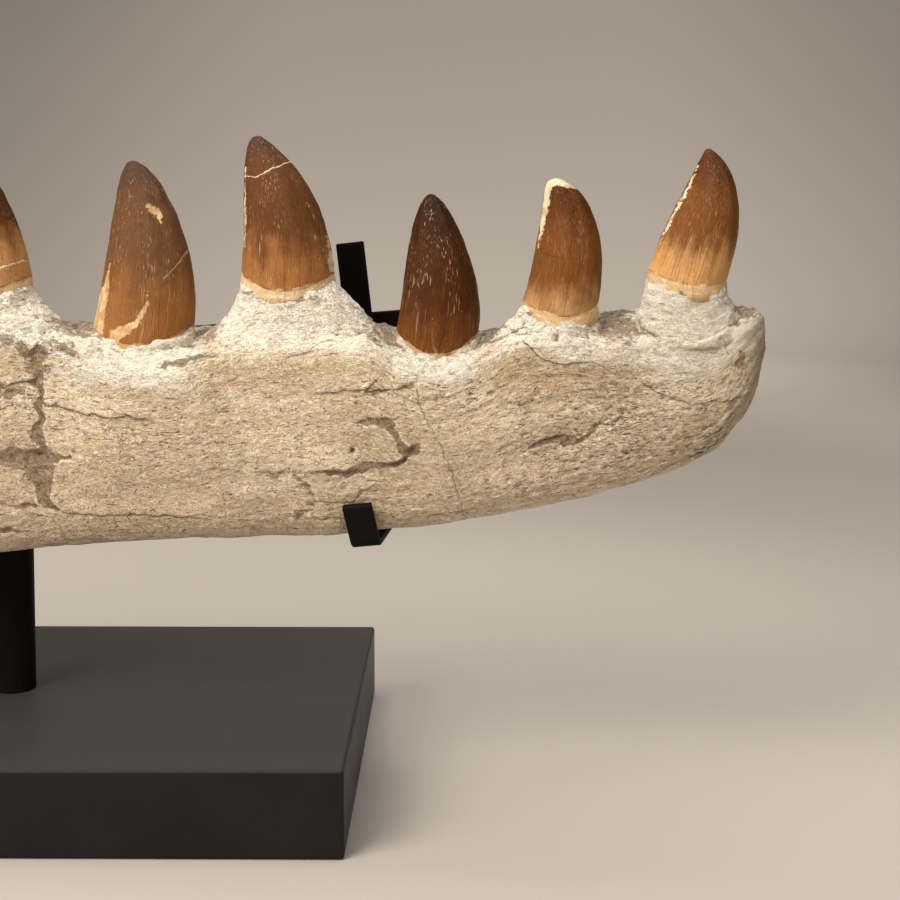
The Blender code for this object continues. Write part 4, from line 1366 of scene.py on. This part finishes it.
@dataclass
class ToothRow:
    """The enamel crowns, each a swept form with an edge at its front and back."""

    # How far apart the crowns lie in the pattern of streaks, so that no two are alike
    PATTERN_STEP = 31.0
    # The distance in millimetres past which a chip or a crack has no effect
    FAR = 3.0

    crowns: tuple[Crown, ...] = CROWNS
    around: int = 120
    along: int = 116
    crowding: float = 1.15
    brim: float = 38.0
    dome: float = 0.85
    dome_angles: tuple[float, ...] = (82, 72, 61, 50)
    ridge: float = 0.28
    ridge_width: float = 0.004
    prism: float = 0.14
    facets: int = 9
    unevenness: float = 0.22
    unevenness_size: Size = (5, 5, 9)
    pinch: float = 0.1
    root_roughness: float = 0.3
    seed: int = 41

    def rings(self, crown: Crown, grain: Grain) -> tuple[list[Array], dict[str, list[Array]]]:
        """Return a crown's rings from its rounded tip down into its socket, with their attributes.

        Args:
            crown: The crown.
            grain: Noise for its unevenness.

        Returns:
            The rings and, for each attribute, its rows.
        """
        turn = 2 * math.pi * np.arange(self.around) / self.around
        c, s = np.cos(turn), np.sin(turn)
        steps = [(index / (self.along - 1)) ** self.crowding for index in range(self.along)]
        length = math.dist(crown.back[0], crown.back[3])
        rings: list[Array] = []
        layers: dict[str, list[Array]] = {"crown": [], "straight": [], "marks": []}

        def record(ring: Array, share: float, height: float) -> None:
            """Keep one ring and its attributes.

            Args:
                ring: The ring.
                share: Its place between the enamel's margin, 0, and the tip, 1.
                height: Its height above the margin along the crown.
            """
            middle = ring.mean(axis=0)
            offset = ring - middle
            rings.append(ring)
            flat = np.stack([np.hypot(offset[:, 0], offset[:, 2]) * np.sign(c), offset[:, 1],
                             np.full(len(ring), height)], axis=1)
            layers["straight"].append(flat + np.array((crown.number * self.PATTERN_STEP, 0.0, 0.0)))
            root = float(smooth_step(0.9, -0.9, np.array(height)))
            layers["crown"].append(np.tile((share, height, root), (len(ring), 1)))
            layers["marks"].append(self.marks(crown, ring, s))

        tip = crown.ring(0.0, self.around)
        top = tip.mean(axis=0)
        radius = crown.outline(0.0)[2]
        brim = math.radians(self.brim)
        for angle in np.radians(self.dome_angles):
            ring = top + (tip - top) * math.cos(angle) / math.cos(brim)
            ring[:, 2] += self.dome * radius * (math.sin(angle) - math.sin(brim)) / math.cos(brim)
            record(ring, 1.0, length)
        for t in steps:
            ring = crown.ring(t, self.around)
            middle = ring.mean(axis=0)
            fade = min(1.0, t * 6) * (1.0 - 0.5 * t)
            bulk = self.prism * np.cos(self.facets * turn + crown.number) * fade
            bulk = bulk + self.ridge * np.exp(-((1 - np.abs(c)) / self.ridge_width)) * min(1.0, t * 8)
            bulk = bulk + self.unevenness * grain.layers(ring, self.unevenness_size, 3) * min(1.0, t * 5)
            offset = ring - middle
            size = np.linalg.norm(offset, axis=1)[:, None]
            ring = middle + offset * (1 + bulk[:, None] / np.maximum(size, 0.5))
            ring[:, 1] -= offset[:, 1] * self.pinch * c ** 4
            record(ring, 1.0 - t, length * (1 - t))
        base = rings[-1]
        middle = base.mean(axis=0)
        for depth, flare in ((0.05, -crown.enamel_edge), (0.5, -0.15), (1.4, 0.5 * crown.root_flare),
                             (2.8, crown.root_flare), (crown.root_depth, 0.2)):
            offset = base - middle
            size = np.linalg.norm(offset, axis=1)[:, None]
            ring = middle + offset * (1 + flare / size)
            ring = ring + self.root_roughness * grain.layers(ring, 3.0, 3)[:, None] * offset / size
            ring[:, 2] -= depth
            record(ring, -depth / length, -depth)
        return rings, layers

    def marks(self, crown: Crown, ring: Array, s: Array) -> Array:
        """Measure one ring against its crown's chips and cracks; its inner half is left whole.

        Args:
            crown: The crown.
            ring: The ring.
            s: For each point, how far it faces the inner side, -1 to 1.

        Returns:
            For each point the depth in a chip, the distance to the nearest crack and its force.
        """
        x, z = ring[:, 0], ring[:, 2]
        chip = np.full(len(ring), -self.FAR)
        for seam in crown.chips:
            signed, width, beyond = seam.measure(x, z)
            chip = np.maximum(chip, width - np.abs(signed) - beyond * 0.3)
        gap, force = np.full(len(ring), self.FAR), np.zeros(len(ring))
        for seam in crown.cracks:
            signed, _, beyond = seam.measure(x, z)
            near = np.abs(signed) < np.abs(gap)
            gap = np.where(near, signed, gap)
            reach = smooth_step(1.5, 0.0, beyond) * smooth_step(self.FAR, self.FAR / 2, np.abs(signed))
            force = np.where(near, seam.dark * reach, force)
        behind = smooth_step(-0.15, 0.25, s)
        chip = chip * (1 - behind) - self.FAR * behind
        return np.stack([chip, gap, force * (1 - behind)], axis=1)

    def build(self) -> list[bpy.types.Object]:
        """Build and dress every crown.

        Returns:
            The crowns' objects.
        """
        pieces = []
        for crown in self.crowns:
            bm = bmesh.new()
            for name in ("crown", "straight", "marks"):
                bm.verts.layers.float_vector.new(name)
            rings, layers = self.rings(crown, Grain(self.seed + crown.number))
            sweep_rings(bm, rings, layers)
            piece = add_piece(f"{crown.name}_enamel", bm)
            piece.data.materials.append(EnamelMaterial(f"{crown.name}_enamel", crown.finish).build())
            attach(piece, "root")
            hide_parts(crown.name)
            pieces.append(piece)
            LOG.info("%s: %d faces", piece.name, len(piece.data.polygons))
        return pieces


@dataclass
class JawBone:
    """The bone with its pedestals: swept forms fused by a voxel remesh, then carved by noise."""

    LEAST_DEPTH = 20.0
    USUAL_DEPTH = 75.0

    form: JawForm = field(default_factory=JawForm)
    crowns: tuple[Crown, ...] = CROWNS
    voxel: float = 0.6
    smoothing: int = 3
    triangles: int = 195000
    thinning_force: float = 0.0006
    pedestal_points: int = 72
    pedestal_levels: int = 12
    pedestal_collar: float = 0.3
    grains: int = 260
    grain_radius: tuple[float, float] = (0.5, 1.4)
    grain_stretch: tuple[float, float] = (0.7, 1.5)
    seed: int = 7
    crack_warp: tuple[float, float] = (0.7, 4.5)
    rock_warp: tuple[float, float] = (2.3, 9.0)
    sheet: float = 0.3
    sheet_count: float = 2.1
    sheet_edge: float = 0.2
    seam_depth: float = 0.42
    step_height: float = 0.8
    crack_width: float = 0.62
    rear_break: float = 1.7
    trough_relief: float = 0.75
    fine_rounds: int = 4
    broad_rounds: int = 26

    def build(self) -> bpy.types.Object:
        """Build, carve, thin and dress the jaw.

        Returns:
            The jaw's object.
        """
        bm = bmesh.new()
        sweep_rings(bm, self.form.rings())
        for crown in self.crowns:
            self.add_pedestal(bm, crown)
        self.add_grains(bm)
        piece = add_piece("jaw_bone_skin", bm)
        remesh = piece.modifiers.new("fuse", "REMESH")
        remesh.mode = "VOXEL"
        remesh.voxel_size = self.voxel * MM
        remesh.use_smooth_shade = True
        relax = piece.modifiers.new("relax", "SMOOTH")
        relax.factor = 0.5
        relax.iterations = self.smoothing
        apply_modifiers(piece)
        self.carve(piece)
        self.thin(piece)
        self.paint(piece)
        piece.data.materials.clear()
        piece.data.materials.append(BoneMaterial(BoneFinish()).build())
        piece.data.shade_smooth()
        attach(piece, "root")
        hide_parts("jaw_bone")
        LOG.info("%s: %d faces", piece.name, len(piece.data.polygons))
        return piece

    def add_pedestal(self, bm: bmesh.types.BMesh, crown: Crown) -> None:
        """Add the flared bone under one crown, from just below the enamel's margin.

        Args:
            bm: The mesh to add to.
            crown: The crown.
        """
        size = crown.pedestal
        count = self.pedestal_points
        turn = 2 * math.pi * np.arange(count) / count
        c, s = np.cos(turn), np.sin(turn)
        margin = crown.ring(1.0, count)
        ragged = 0.7 * Grain(self.seed + crown.number).layers(margin, (5, 5, 40), 3)
        rings = []
        for grow, depth in ((-4.0, size.under + 0.8), (-1.3, size.under + 0.3), (-0.3, size.under + 0.4)):
            ring = crown.ring(1.0, count, grow)
            ring[:, 2] -= depth + ragged
            rings.append(ring)
        top = margin[:, 2] - size.under - 1.0 - ragged
        power = np.where(c > 0, size.front_power, size.back_power)
        spread_out = np.where(c > 0, size.front, size.back)
        for level in range(self.pedestal_levels + 1):
            t = level / self.pedestal_levels
            ring = margin.copy()
            ring[:, 0] += c * (self.pedestal_collar + spread_out * t ** power)
            ring[:, 1] += s * (self.pedestal_collar + size.side * t ** size.side_power)
            ring[:, 2] = top + (size.foot - top) * t
            rings.append(ring)
        sweep_rings(bm, rings)

    def add_grains(self, bm: bmesh.types.BMesh) -> None:
        """Scatter small lumps of rock along the trough between the teeth and under the crowns.

        Args:
            bm: The mesh to add to.
        """
        draw = np.random.default_rng(self.seed)
        for _ in range(self.grains):
            x = draw.uniform(-235, 244)
            half = float(self.form.half_thickness.at(x))
            share = draw.uniform(-0.6, 0.45)
            outer, inner = float(self.form.outer_rim.at(x)), float(self.form.inner_rim.at(x))
            rim = outer + (inner - outer) * (share + 1) / 2
            z = rim - self.form.trough_depth * (1 - share ** 2) * min(1.0, half / 12)
            radius = draw.uniform(*self.grain_radius)
            place = Vector((x, self.form.middle_y + share * half, z - radius * 0.35)) * MM
            turn = Euler(draw.uniform(0, 3, 3)).to_matrix().to_4x4()
            shape = Matrix.Diagonal((*draw.uniform(*self.grain_stretch, 3), 1.0))
            bmesh.ops.create_icosphere(bm, subdivisions=2, radius=radius * MM,
                                       matrix=Matrix.Translation(place) @ turn @ shape)

    def flow(self, points: Array) -> Array:
        """Measure points along the grain of the bone, which follows its lower edge and its rim.

        Args:
            points: Points, one row each.

        Returns:
            The points with their height as a share of the jaw's, times its usual depth.
        """
        low = self.form.low_edge.at(points[:, 0])
        rim = self.form.outer_rim.at(points[:, 0])
        share = (points[:, 2] - low) / np.maximum(rim - low, self.LEAST_DEPTH)
        return np.stack([points[:, 0], points[:, 1], share * self.USUAL_DEPTH], axis=1)

    def warped(self, points: Array, warp: tuple[float, float]) -> tuple[Array, Array]:
        """Shift points by noise, so that no seam drawn through them is straight.

        Args:
            points: Points, one row each.
            warp: The noise's amount and size.

        Returns:
            The shifted positions along the jaw and heights.
        """
        flat = points * (1, 0, 1)
        grain = Grain(self.seed + 1)
        amount, size = warp
        shift_x = grain.layers(flat, size, 3) * amount
        shift_z = grain.layers(flat + (40, 0, 13), size, 3) * amount
        return points[:, 0] + shift_x, points[:, 2] + shift_z

    def side_masks(self, normals: Array) -> dict[Side, Array]:
        """Return how far each point faces the outer and the inner side."""
        return {side: smooth_step(0.05, 0.45, normals[:, 1] * side.value) for side in Side}

    def margin(self, points: Array) -> Array:
        """Return the rough band along the tooth-bearing edge, 0 to 1."""
        below = self.form.outer_rim.at(points[:, 0]) - points[:, 2]
        return smooth_step(13, 2, below + 6 * Grain(self.seed + 2).layers(points, 20, 2))

    def rear(self, points: Array) -> Array:
        """Return the broken rear end, 0 to 1."""
        slant = (points[:, 2] - self.form.slant_height) * self.form.rear_slant
        return smooth_step(self.form.rear + 5, self.form.rear + 0.5, points[:, 0] + slant)

    def coarse(self, points: Array) -> Array:
        """Return the coarse, pitted zones of the skin, 0 to 1."""
        return np.minimum(1.0, sum(zone.at(points[:, 0], points[:, 2]) for zone in COARSE))

    def sheets(self, points: Array) -> tuple[Array, Array]:
        """Lay thin weathered sheets of bone over the skin.

        Args:
            points: Points, one row each.

        Returns:
            The sheets' height and how near their edges are, 0 to 1.
        """
        grain = Grain(self.seed + 9)
        flow = self.flow(points)
        level = grain.layers(flow, (34, 22, 9), 4) * self.sheet_count
        part = level - np.floor(level)
        height = np.floor(level) + smooth_step(0.0, self.sheet_edge, part)
        edge = smooth_step(self.sheet_edge, 0.0, np.abs(part - self.sheet_edge / 2))
        shown = smooth_step(-0.5, 0.15, grain.layers(flow + (0, 0, 200), (30, 30, 16), 2))
        return (height - level) * self.sheet * shown, edge * shown

    def noises(self) -> tuple[Grain, Grain, Grain]:
        """Return the three noises that the carving draws on."""
        return Grain(self.seed + 2), Grain(self.seed + 3), Grain(self.seed + 4)

    def carve(self, piece: bpy.types.Object) -> None:
        """Push the skin in and out along its normals by noise, pits and seams.

        Args:
            piece: The jaw.
        """
        mesh = piece.data
        points, normals = read_points(mesh)
        masks = self.side_masks(normals)
        shift = np.zeros(len(points))
        self.weather(points, shift)
        self.roughen_ends(points, normals, shift)
        shift += masks[Side.OUTER] * sum(pit.at(points[:, 0], points[:, 2]) for pit in PITS)
        self.cut_seams(points, masks, shift)
        write_points(mesh, points + normals * shift[:, None])

    def weather(self, points: Array, shift: Array) -> None:
        """Add waves, sheets, creases and dents to the skin.

        Args:
            points: Points, one row each.
            shift: How far each point goes out, which is added to.
        """
        one, two, three = self.noises()
        flow, margin, coarse = self.flow(points), self.margin(points), self.coarse(points)
        shift += 0.45 * one.layers(points, (26, 22, 16), 2)
        shift += self.sheets(points)[0]
        shift += 0.2 * two.layers(flow, (13, 8, 4.4), 3) * (1 - 0.5 * margin)
        shift += 0.12 * three.layers(flow, (5, 4.5, 2.8), 2)
        creases = 1 - np.abs(one.at(flow, (4.2, 3.5, 1.9))) * 2.6
        shift -= 0.1 * np.maximum(creases, 0) * smooth_step(-0.5, 0.3, two.at(points, 13))
        shift += margin * 0.5 * three.layers(points, (7, 7, 4.5), 3)
        dents = smooth_step(0.42 - 0.14 * coarse, 0.8, three.at(flow, (3.0, 2.2, 1.5)))
        shift -= (0.28 + 0.42 * coarse) * dents * smooth_step(-0.3, 0.4, one.at(points, 15) + coarse)
        shift += coarse * 0.38 * two.layers(points, (3.0, 2.6, 2.0), 3)

    def roughen_ends(self, points: Array, normals: Array, shift: Array) -> None:
        """Add the broken rear, the clinging rock in the trough and the layers of the pedestals.

        Args:
            points: Points, one row each.
            normals: Their normals.
            shift: How far each point goes out, which is added to.
        """
        one, _, three = self.noises()
        breaks = self.rear_break * one.layers(points, 6, 3) + 0.8 * three.layers(points, 2.4, 2)
        shift += self.rear(points) * breaks
        above = points[:, 2] - self.form.outer_rim.at(points[:, 0])
        top = smooth_step(0.3, 0.75, normals[:, 2]) * smooth_step(-9, -3, above)
        top = top * smooth_step(3, 0, above)
        shift += top * self.trough_relief * three.layers(points, 3.2, 3)
        banks = smooth_step(1, 5, above)
        shift += banks * 0.2 * one.layers(points, (11, 11, 2.6), 3)

    def cut_seams(self, points: Array, masks: dict[Side, Array], shift: Array) -> None:
        """Cut the seams' grooves and raise their steps.

        Args:
            points: Points, one row each.
            masks: How far each faces either side.
            shift: How far each point goes out, which is added to.
        """
        fields = {True: self.warped(points, self.rock_warp), False: self.warped(points, self.crack_warp)}
        rubble = self.noises()[1]
        for seam in SEAMS:
            x, z = fields[seam.rock > 0]
            use = np.flatnonzero((masks[seam.side] > 0.01) & seam.near(x, z, seam.reach + 1))
            signed, width, beyond = seam.measure(x[use], z[use])
            away = np.abs(signed)
            live = masks[seam.side][use] * smooth_step(2.5, 0.0, beyond)
            groove = smooth_step(width + 0.5, width * 0.2, away)
            side = np.sign(seam.step) if seam.step else 1.0
            rise = smooth_step(-0.45, 0.45, signed * side) * smooth_step(seam.reach, 0.0, away)
            step = self.step_height * abs(seam.step) * rise
            shift[use] += live * (step - self.seam_depth * seam.depth * groove)
            if seam.rock:
                shift[use] += live * groove * 0.5 * rubble.layers(points[use], 2.0, 3)

    def thin(self, piece: bpy.types.Object) -> None:
        """Thin the mesh to its budget, first where the jaw's front outer face is not concerned.

        Args:
            piece: The jaw.
        """
        points, normals = read_points(piece.data)
        behind = smooth_step(0.35, 0.75, normals[:, 1])
        beyond = smooth_step(4, -30, points[:, 0])
        under = smooth_step(-0.6, -0.9, normals[:, 2])
        weight = np.maximum(np.maximum(behind, beyond), under)
        group = piece.vertex_groups.new(name="thin_here")
        for level in range(1, 11):
            chosen = np.flatnonzero(np.round(weight * 10) == level)
            group.add(chosen.tolist(), level / 10, "REPLACE")
        total = sum(len(face.vertices) - 2 for face in piece.data.polygons)
        thinning = piece.modifiers.new("thin", "DECIMATE")
        thinning.ratio = min(1.0, self.triangles / total)
        thinning.vertex_group = group.name
        thinning.vertex_group_factor = self.thinning_force
        apply_modifiers(piece)
        piece.vertex_groups.clear()
        LOG.info("jaw thinned from %d to %d triangles", total, len(piece.data.polygons))

    def tones(self, points: Array, masks: dict[Side, Array]) -> dict[Tone, Array]:
        """Return how strongly each tone lies at each point.

        Args:
            points: Points, one row each.
            masks: How far each faces either side.

        Returns:
            For each tone, its strength.
        """
        x, z = self.warped(points, self.rock_warp)
        result = {tone: np.zeros(len(points)) for tone in Tone}
        for patch in PATCHES:
            result[patch.tone] += masks[patch.side] * patch.shape.at(x, z)
        for seam in SEAMS:
            if not seam.rock:
                continue
            use = np.flatnonzero((masks[seam.side] > 0.01) & seam.near(x, z, 4))
            signed, width, beyond = seam.measure(x[use], z[use])
            inside = smooth_step(1.3, -1.3, np.abs(signed) - width + beyond)
            result[Tone.ROCK][use] = np.maximum(result[Tone.ROCK][use],
                                                masks[seam.side][use] * inside * seam.rock)
        return result

    def cracks(self, points: Array, masks: dict[Side, Array]) -> Array:
        """Measure points against the nearest crack.

        Args:
            points: Points, one row each.
            masks: How far each faces either side.

        Returns:
            For each point the signed distance, the crack's half width and its force.
        """
        x, z = self.warped(points, self.crack_warp)
        grain = Grain(self.seed + 11)
        whole = grain.layers(points, (8, 8, 6), 2)
        gap, width, force = np.full(len(x), 9.0), np.full(len(x), 0.2), np.zeros(len(x))
        for seam in SEAMS:
            if seam.rock or seam.dark <= 0:
                continue
            use = np.flatnonzero((masks[seam.side] > 0.01) & seam.near(x, z, 4))
            signed, half, beyond = seam.measure(x[use], z[use])
            near = np.abs(signed) < np.abs(gap[use])
            chosen = use[near]
            gap[chosen] = signed[near]
            width[chosen] = half[near] * self.crack_width
            kept = smooth_step(-0.55, -0.1, whole[chosen] + 0.6 * (1 - seam.broken))
            force[chosen] = (seam.dark * masks[seam.side][chosen] * smooth_step(1.5, 0.0, beyond[near])
                             * smooth_step(3.6, 2.2, np.abs(signed[near])) * kept)
        return np.stack([gap, width, force], axis=1)

    def hollows(self, mesh: bpy.types.Mesh, points: Array, normals: Array, rounds: int) -> Array:
        """Return how far each point lies below the skin averaged over its surroundings."""
        around = np.stack([spread(mesh, points[:, axis].copy(), rounds) for axis in range(3)], axis=1)
        return np.einsum("ij,ij->i", around - points, normals)

    def paint(self, piece: bpy.types.Object) -> None:
        """Store the tones, cracks and wear that the bone's material reads.

        Args:
            piece: The jaw.
        """
        mesh = piece.data
        points, normals = read_points(mesh)
        masks = self.side_masks(normals)
        grain = Grain(self.seed + 2)
        tones = self.tones(points, masks)
        above = points[:, 2] - self.form.outer_rim.at(points[:, 0])
        top = smooth_step(0.25, 0.8, normals[:, 2]) * smooth_step(-9, -3, above)
        banks = smooth_step(2.5, 6.5, above)
        margin = self.margin(points)
        bed = top * (1 - banks) * 0.66 * smooth_step(-51, -42, points[:, 1])
        tones[Tone.ROCK] = np.maximum(tones[Tone.ROCK], bed)
        tones[Tone.ROCK] += banks * 0.5 * smooth_step(0.15, 0.7, grain.layers(points, (11, 11, 2.4), 3))
        tones[Tone.CHALK] += banks * 0.8 + 0.5 * margin
        # The broken rear end is tan, and the band along the lower edge is more tan: partly the bone's own
        # tone, partly painted shade where the bone curves under.
        tones[Tone.TAN] += 0.45 * self.rear(points) + 0.25 * smooth_step(-48, -66, above)
        tones[Tone.ROCK] += 0.35 * self.rear(points)
        spots = 0.3 + 0.7 * self.coarse(points) + 0.3 * grain.layers(points, 24, 2)
        write_vectors(mesh, "tones", np.stack([tones[tone] for tone in Tone], axis=1))
        write_vectors(mesh, "crack", self.cracks(points, masks))
        fine, broad = (self.hollows(mesh, points, normals, rounds)
                       for rounds in (self.fine_rounds, self.broad_rounds))
        write_vectors(mesh, "wear", np.stack([fine, broad, self.sheets(points)[1]], axis=1))
        write_vectors(mesh, "skin", np.stack([margin, spots, top], axis=1))
        write_vectors(mesh, "flow", self.flow(points))


@dataclass
class Stand:
    """The black metal stand: base block, post, back bar and the two straps with their hooks."""

    base_bevel: float = 0.39
    edge_bevel: float = 0.12
    bevel_segments: int = 2
    doubles: float = 0.005
    metal: StandFinish = StandFinish("powder_coat")
    # The base's coat carries a painted sheen on its top face.
    base_metal: StandFinish = StandFinish(
        "powder_coat_base", (0.0115, 0.0103, 0.0102), roughness=0.4, shine=0.12, peel_size=0.7,
        peel_strength=0.6, painted_sheen_from=27.0)

    def build(self) -> list[bpy.types.Object]:
        """Build and dress the stand's pieces.

        Returns:
            The stand's objects.
        """
        coats = {"base_block": self.base_metal.build()}
        coat = self.metal.build()
        pieces = []
        for name in ("base_block", "post", "back_bar", "strap_right", "strap_left"):
            piece = self.copy_of(name)
            self.round_edges(piece, name)
            piece.data.materials.clear()
            piece.data.materials.append(coats.get(name, coat))
            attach(piece, "root")
            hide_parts(name)
            pieces.append(piece)
            LOG.info("%s: %d faces", piece.name, len(piece.data.polygons))
        return pieces

    def copy_of(self, name: str) -> bpy.types.Object:
        """Copy a node's mesh in place, merged and with its coplanar faces joined.

        Args:
            name: The node's name.

        Returns:
            The copy.
        """
        source = frame["nodes"][name]
        bm = bmesh.new()
        bm.from_mesh(source.data)
        bmesh.ops.transform(bm, matrix=source.matrix_world, verts=bm.verts)
        bmesh.ops.remove_doubles(bm, verts=bm.verts, dist=self.doubles * MM)
        bmesh.ops.dissolve_limit(bm, angle_limit=math.radians(1.0), verts=bm.verts, edges=bm.edges)
        return add_piece(f"{name}_coated", bm)

    def round_edges(self, piece: bpy.types.Object, name: str) -> None:
        """Round the piece's edges and shade it smooth with weighted normals.

        Args:
            piece: The piece.
            name: The name of its node.
        """
        bevel = piece.modifiers.new("round", "BEVEL")
        bevel.width = (self.base_bevel if name == "base_block" else self.edge_bevel) * MM
        bevel.segments = self.bevel_segments
        bevel.limit_method = "ANGLE"
        bevel.angle_limit = math.radians(20)
        weigh = piece.modifiers.new("weigh", "WEIGHTED_NORMAL")
        weigh.keep_sharp = False
        apply_modifiers(piece)


@dataclass(frozen=True)
class Lamp:
    """A light that faces a point: a soft square, or a soft-edged spot where it has an angle."""

    name: str
    place: tuple[float, float, float]
    target: tuple[float, float, float]
    watts: float
    colour: Colour
    size: float
    angle: float = 0.0

    def add(self) -> None:
        """Add the light to the scene."""
        light = bpy.data.lights.new(self.name, "SPOT" if self.angle else "AREA")
        light.energy = self.watts
        light.color = self.colour
        if self.angle:
            light.spot_size = math.radians(self.angle)
            light.spot_blend = 1.0
            light.shadow_soft_size = self.size
        else:
            light.size = self.size
        holder = bpy.data.objects.new(self.name, light)
        holder.location = self.place
        aim = Vector(self.target) - Vector(self.place)
        holder.rotation_euler = aim.to_track_quat("-Z", "Y").to_euler()
        bpy.context.scene.collection.objects.link(holder)


@dataclass
class Studio:
    """The camera at the photograph's angle, a seamless pale sweep and soft lights, in metres."""

    camera_place: tuple[float, float, float] = (0.15576, -0.54034, 0.19624)
    camera_pitch: float = 4.0
    camera_yaw: float = 0.5586
    lens: float = 64.0
    sensor: float = 36.0
    shift_y: float = -0.158
    floor_radius: float = 1.6
    bend_radius: float = 2.2
    wall_height: float = 3.4
    bend_turn: int = 5
    turns: int = 96
    paper: Colour = (0.465, 0.414, 0.36)
    # The paper is painted darker far from the stand and at the sides, a painted shade, and lighter along
    # the bend, a painted light. The ranges below give where, in metres.
    paper_far_painted_shade: Colour = (0.365, 0.323, 0.279)
    paper_bend_painted_light: Colour = (0.53, 0.47, 0.408)
    paper_side_painted_shade: Colour = (0.275, 0.242, 0.208)
    paper_mottle: Colour = (0.40, 0.34, 0.29)
    near_fade: tuple[float, float] = (0.32, 0.6)
    bend_start: tuple[float, float] = (0.72, 1.08)
    bend_end: tuple[float, float] = (1.12, 1.6)
    side_middle: float = 0.15
    side_fade: tuple[float, float] = (0.3, 0.98)
    lamps: tuple[Lamp, ...] = (
        Lamp("key_light", (-0.66, -0.86, 0.92), (0.06, -0.03, 0.13), 26.0, (1.0, 0.955, 0.90), 0.9),
        Lamp("fill_light", (1.2, -1.1, 0.6), (0.1, 0, 0.12), 5.0, (1.0, 0.975, 0.95), 1.2),
        Lamp("top_light", (0.2, 0.1, 1.5), (0.2, 0.05, 0.0), 19.0, (1.0, 0.98, 0.955), 1.3),
        Lamp("wall_light", (0.15, 0.1, 1.3), (0.12, 2.7, 0.55), 310.0, (1.0, 0.975, 0.94), 0.15, 84.0),
    )
    surround: Colour = (0.9, 0.87, 0.83)
    surround_strength: float = 0.1

    def build(self) -> None:
        """Set up the camera, the sweep, the lights and the dim surround."""
        self.add_camera()
        self.add_sweep()
        for lamp in self.lamps:
            lamp.add()
        world = bpy.data.worlds.new("surround")
        world.use_nodes = True
        world.node_tree.nodes["Background"].inputs[0].default_value = (*self.surround, 1.0)
        world.node_tree.nodes["Background"].inputs[1].default_value = self.surround_strength
        bpy.context.scene.world = world
        bpy.context.scene.view_settings.view_transform = "Standard"

    def add_camera(self) -> None:
        """Place the camera."""
        camera = bpy.data.cameras.new("photo_camera")
        camera.lens = self.lens
        camera.sensor_width = self.sensor
        camera.shift_y = self.shift_y
        camera.clip_start = 0.01
        holder = bpy.data.objects.new("photo_camera", camera)
        holder.location = self.camera_place
        holder.rotation_euler = (math.radians(90 - self.camera_pitch), 0, math.radians(self.camera_yaw))
        bpy.context.scene.collection.objects.link(holder)
        bpy.context.scene.camera = holder

    def add_sweep(self) -> None:
        """Spin a profile of floor, bend and wall into a round seamless sweep of paper with painted shade
        and light.
        """
        bm = bmesh.new()
        flat = [(0.0, 0.0), (self.floor_radius, 0.0)]
        bend = [(self.floor_radius + self.bend_radius * math.sin(math.radians(angle)),
                 self.bend_radius * (1 - math.cos(math.radians(angle))))
                for angle in range(self.bend_turn, 91, self.bend_turn)]
        wall = [(self.floor_radius + self.bend_radius, self.wall_height)]
        verts = [bm.verts.new((x, 0, z)) for x, z in (*flat, *bend, *wall)]
        edges = [bm.edges.new(pair) for pair in zip(verts, verts[1:])]
        bmesh.ops.spin(bm, geom=verts + edges, cent=(0, 0, 0), axis=(0, 0, 1), angle=2 * math.pi,
                       steps=self.turns, use_merge=True)
        bmesh.ops.remove_doubles(bm, verts=bm.verts, dist=0.0001)
        sweep = add_piece("studio_sweep", bm)
        sweep.data.flip_normals()
        sweep.data.materials.append(self.paper_material())

    def paper_material(self) -> bpy.types.Material:
        """Build the paper, with painted shade beyond the stand and at the sides and a painted lighter band
        along the bend.

        Returns:
            The material.
        """
        graph = NodeGraph("sweep_paper")
        place = graph.object_place()
        away = graph.node("ShaderNodeVectorMath", {0: place}, operation="LENGTH").outputs["Value"]
        aside = graph.math("ABSOLUTE", graph.minus(graph.split(place)[0], self.side_middle))
        # Painted shade far away and at the sides, and a painted lighter band along the bend.
        colour = graph.tint(self.paper, self.paper_far_painted_shade, away, *self.near_fade)
        colour = graph.tint(colour, self.paper_bend_painted_light, away, *self.bend_start)
        colour = graph.tint(colour, self.paper_far_painted_shade, away, *self.bend_end)
        colour = graph.tint(colour, self.paper_side_painted_shade, aside, *self.side_fade)
        colour = graph.tint(colour, self.paper_mottle, graph.noise(place, 0.35, 4), 0.3, 0.7, 0.05)
        normal = graph.bump(graph.noise(place, 0.0022, 3, 0.6), 0.12, 0.0004)
        return graph.finish(base_color=colour, roughness=0.85, normal=normal)


def main() -> None:
    """Build the studio, the jaw, its teeth and its stand, and note the sizes."""
    logging.basicConfig(level=logging.INFO, format="%(name)s: %(message)s")
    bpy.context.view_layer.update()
    Studio().build()
    Stand().build()
    ToothRow().build()
    JawBone().build()


if __name__ == "__main__":
    main()
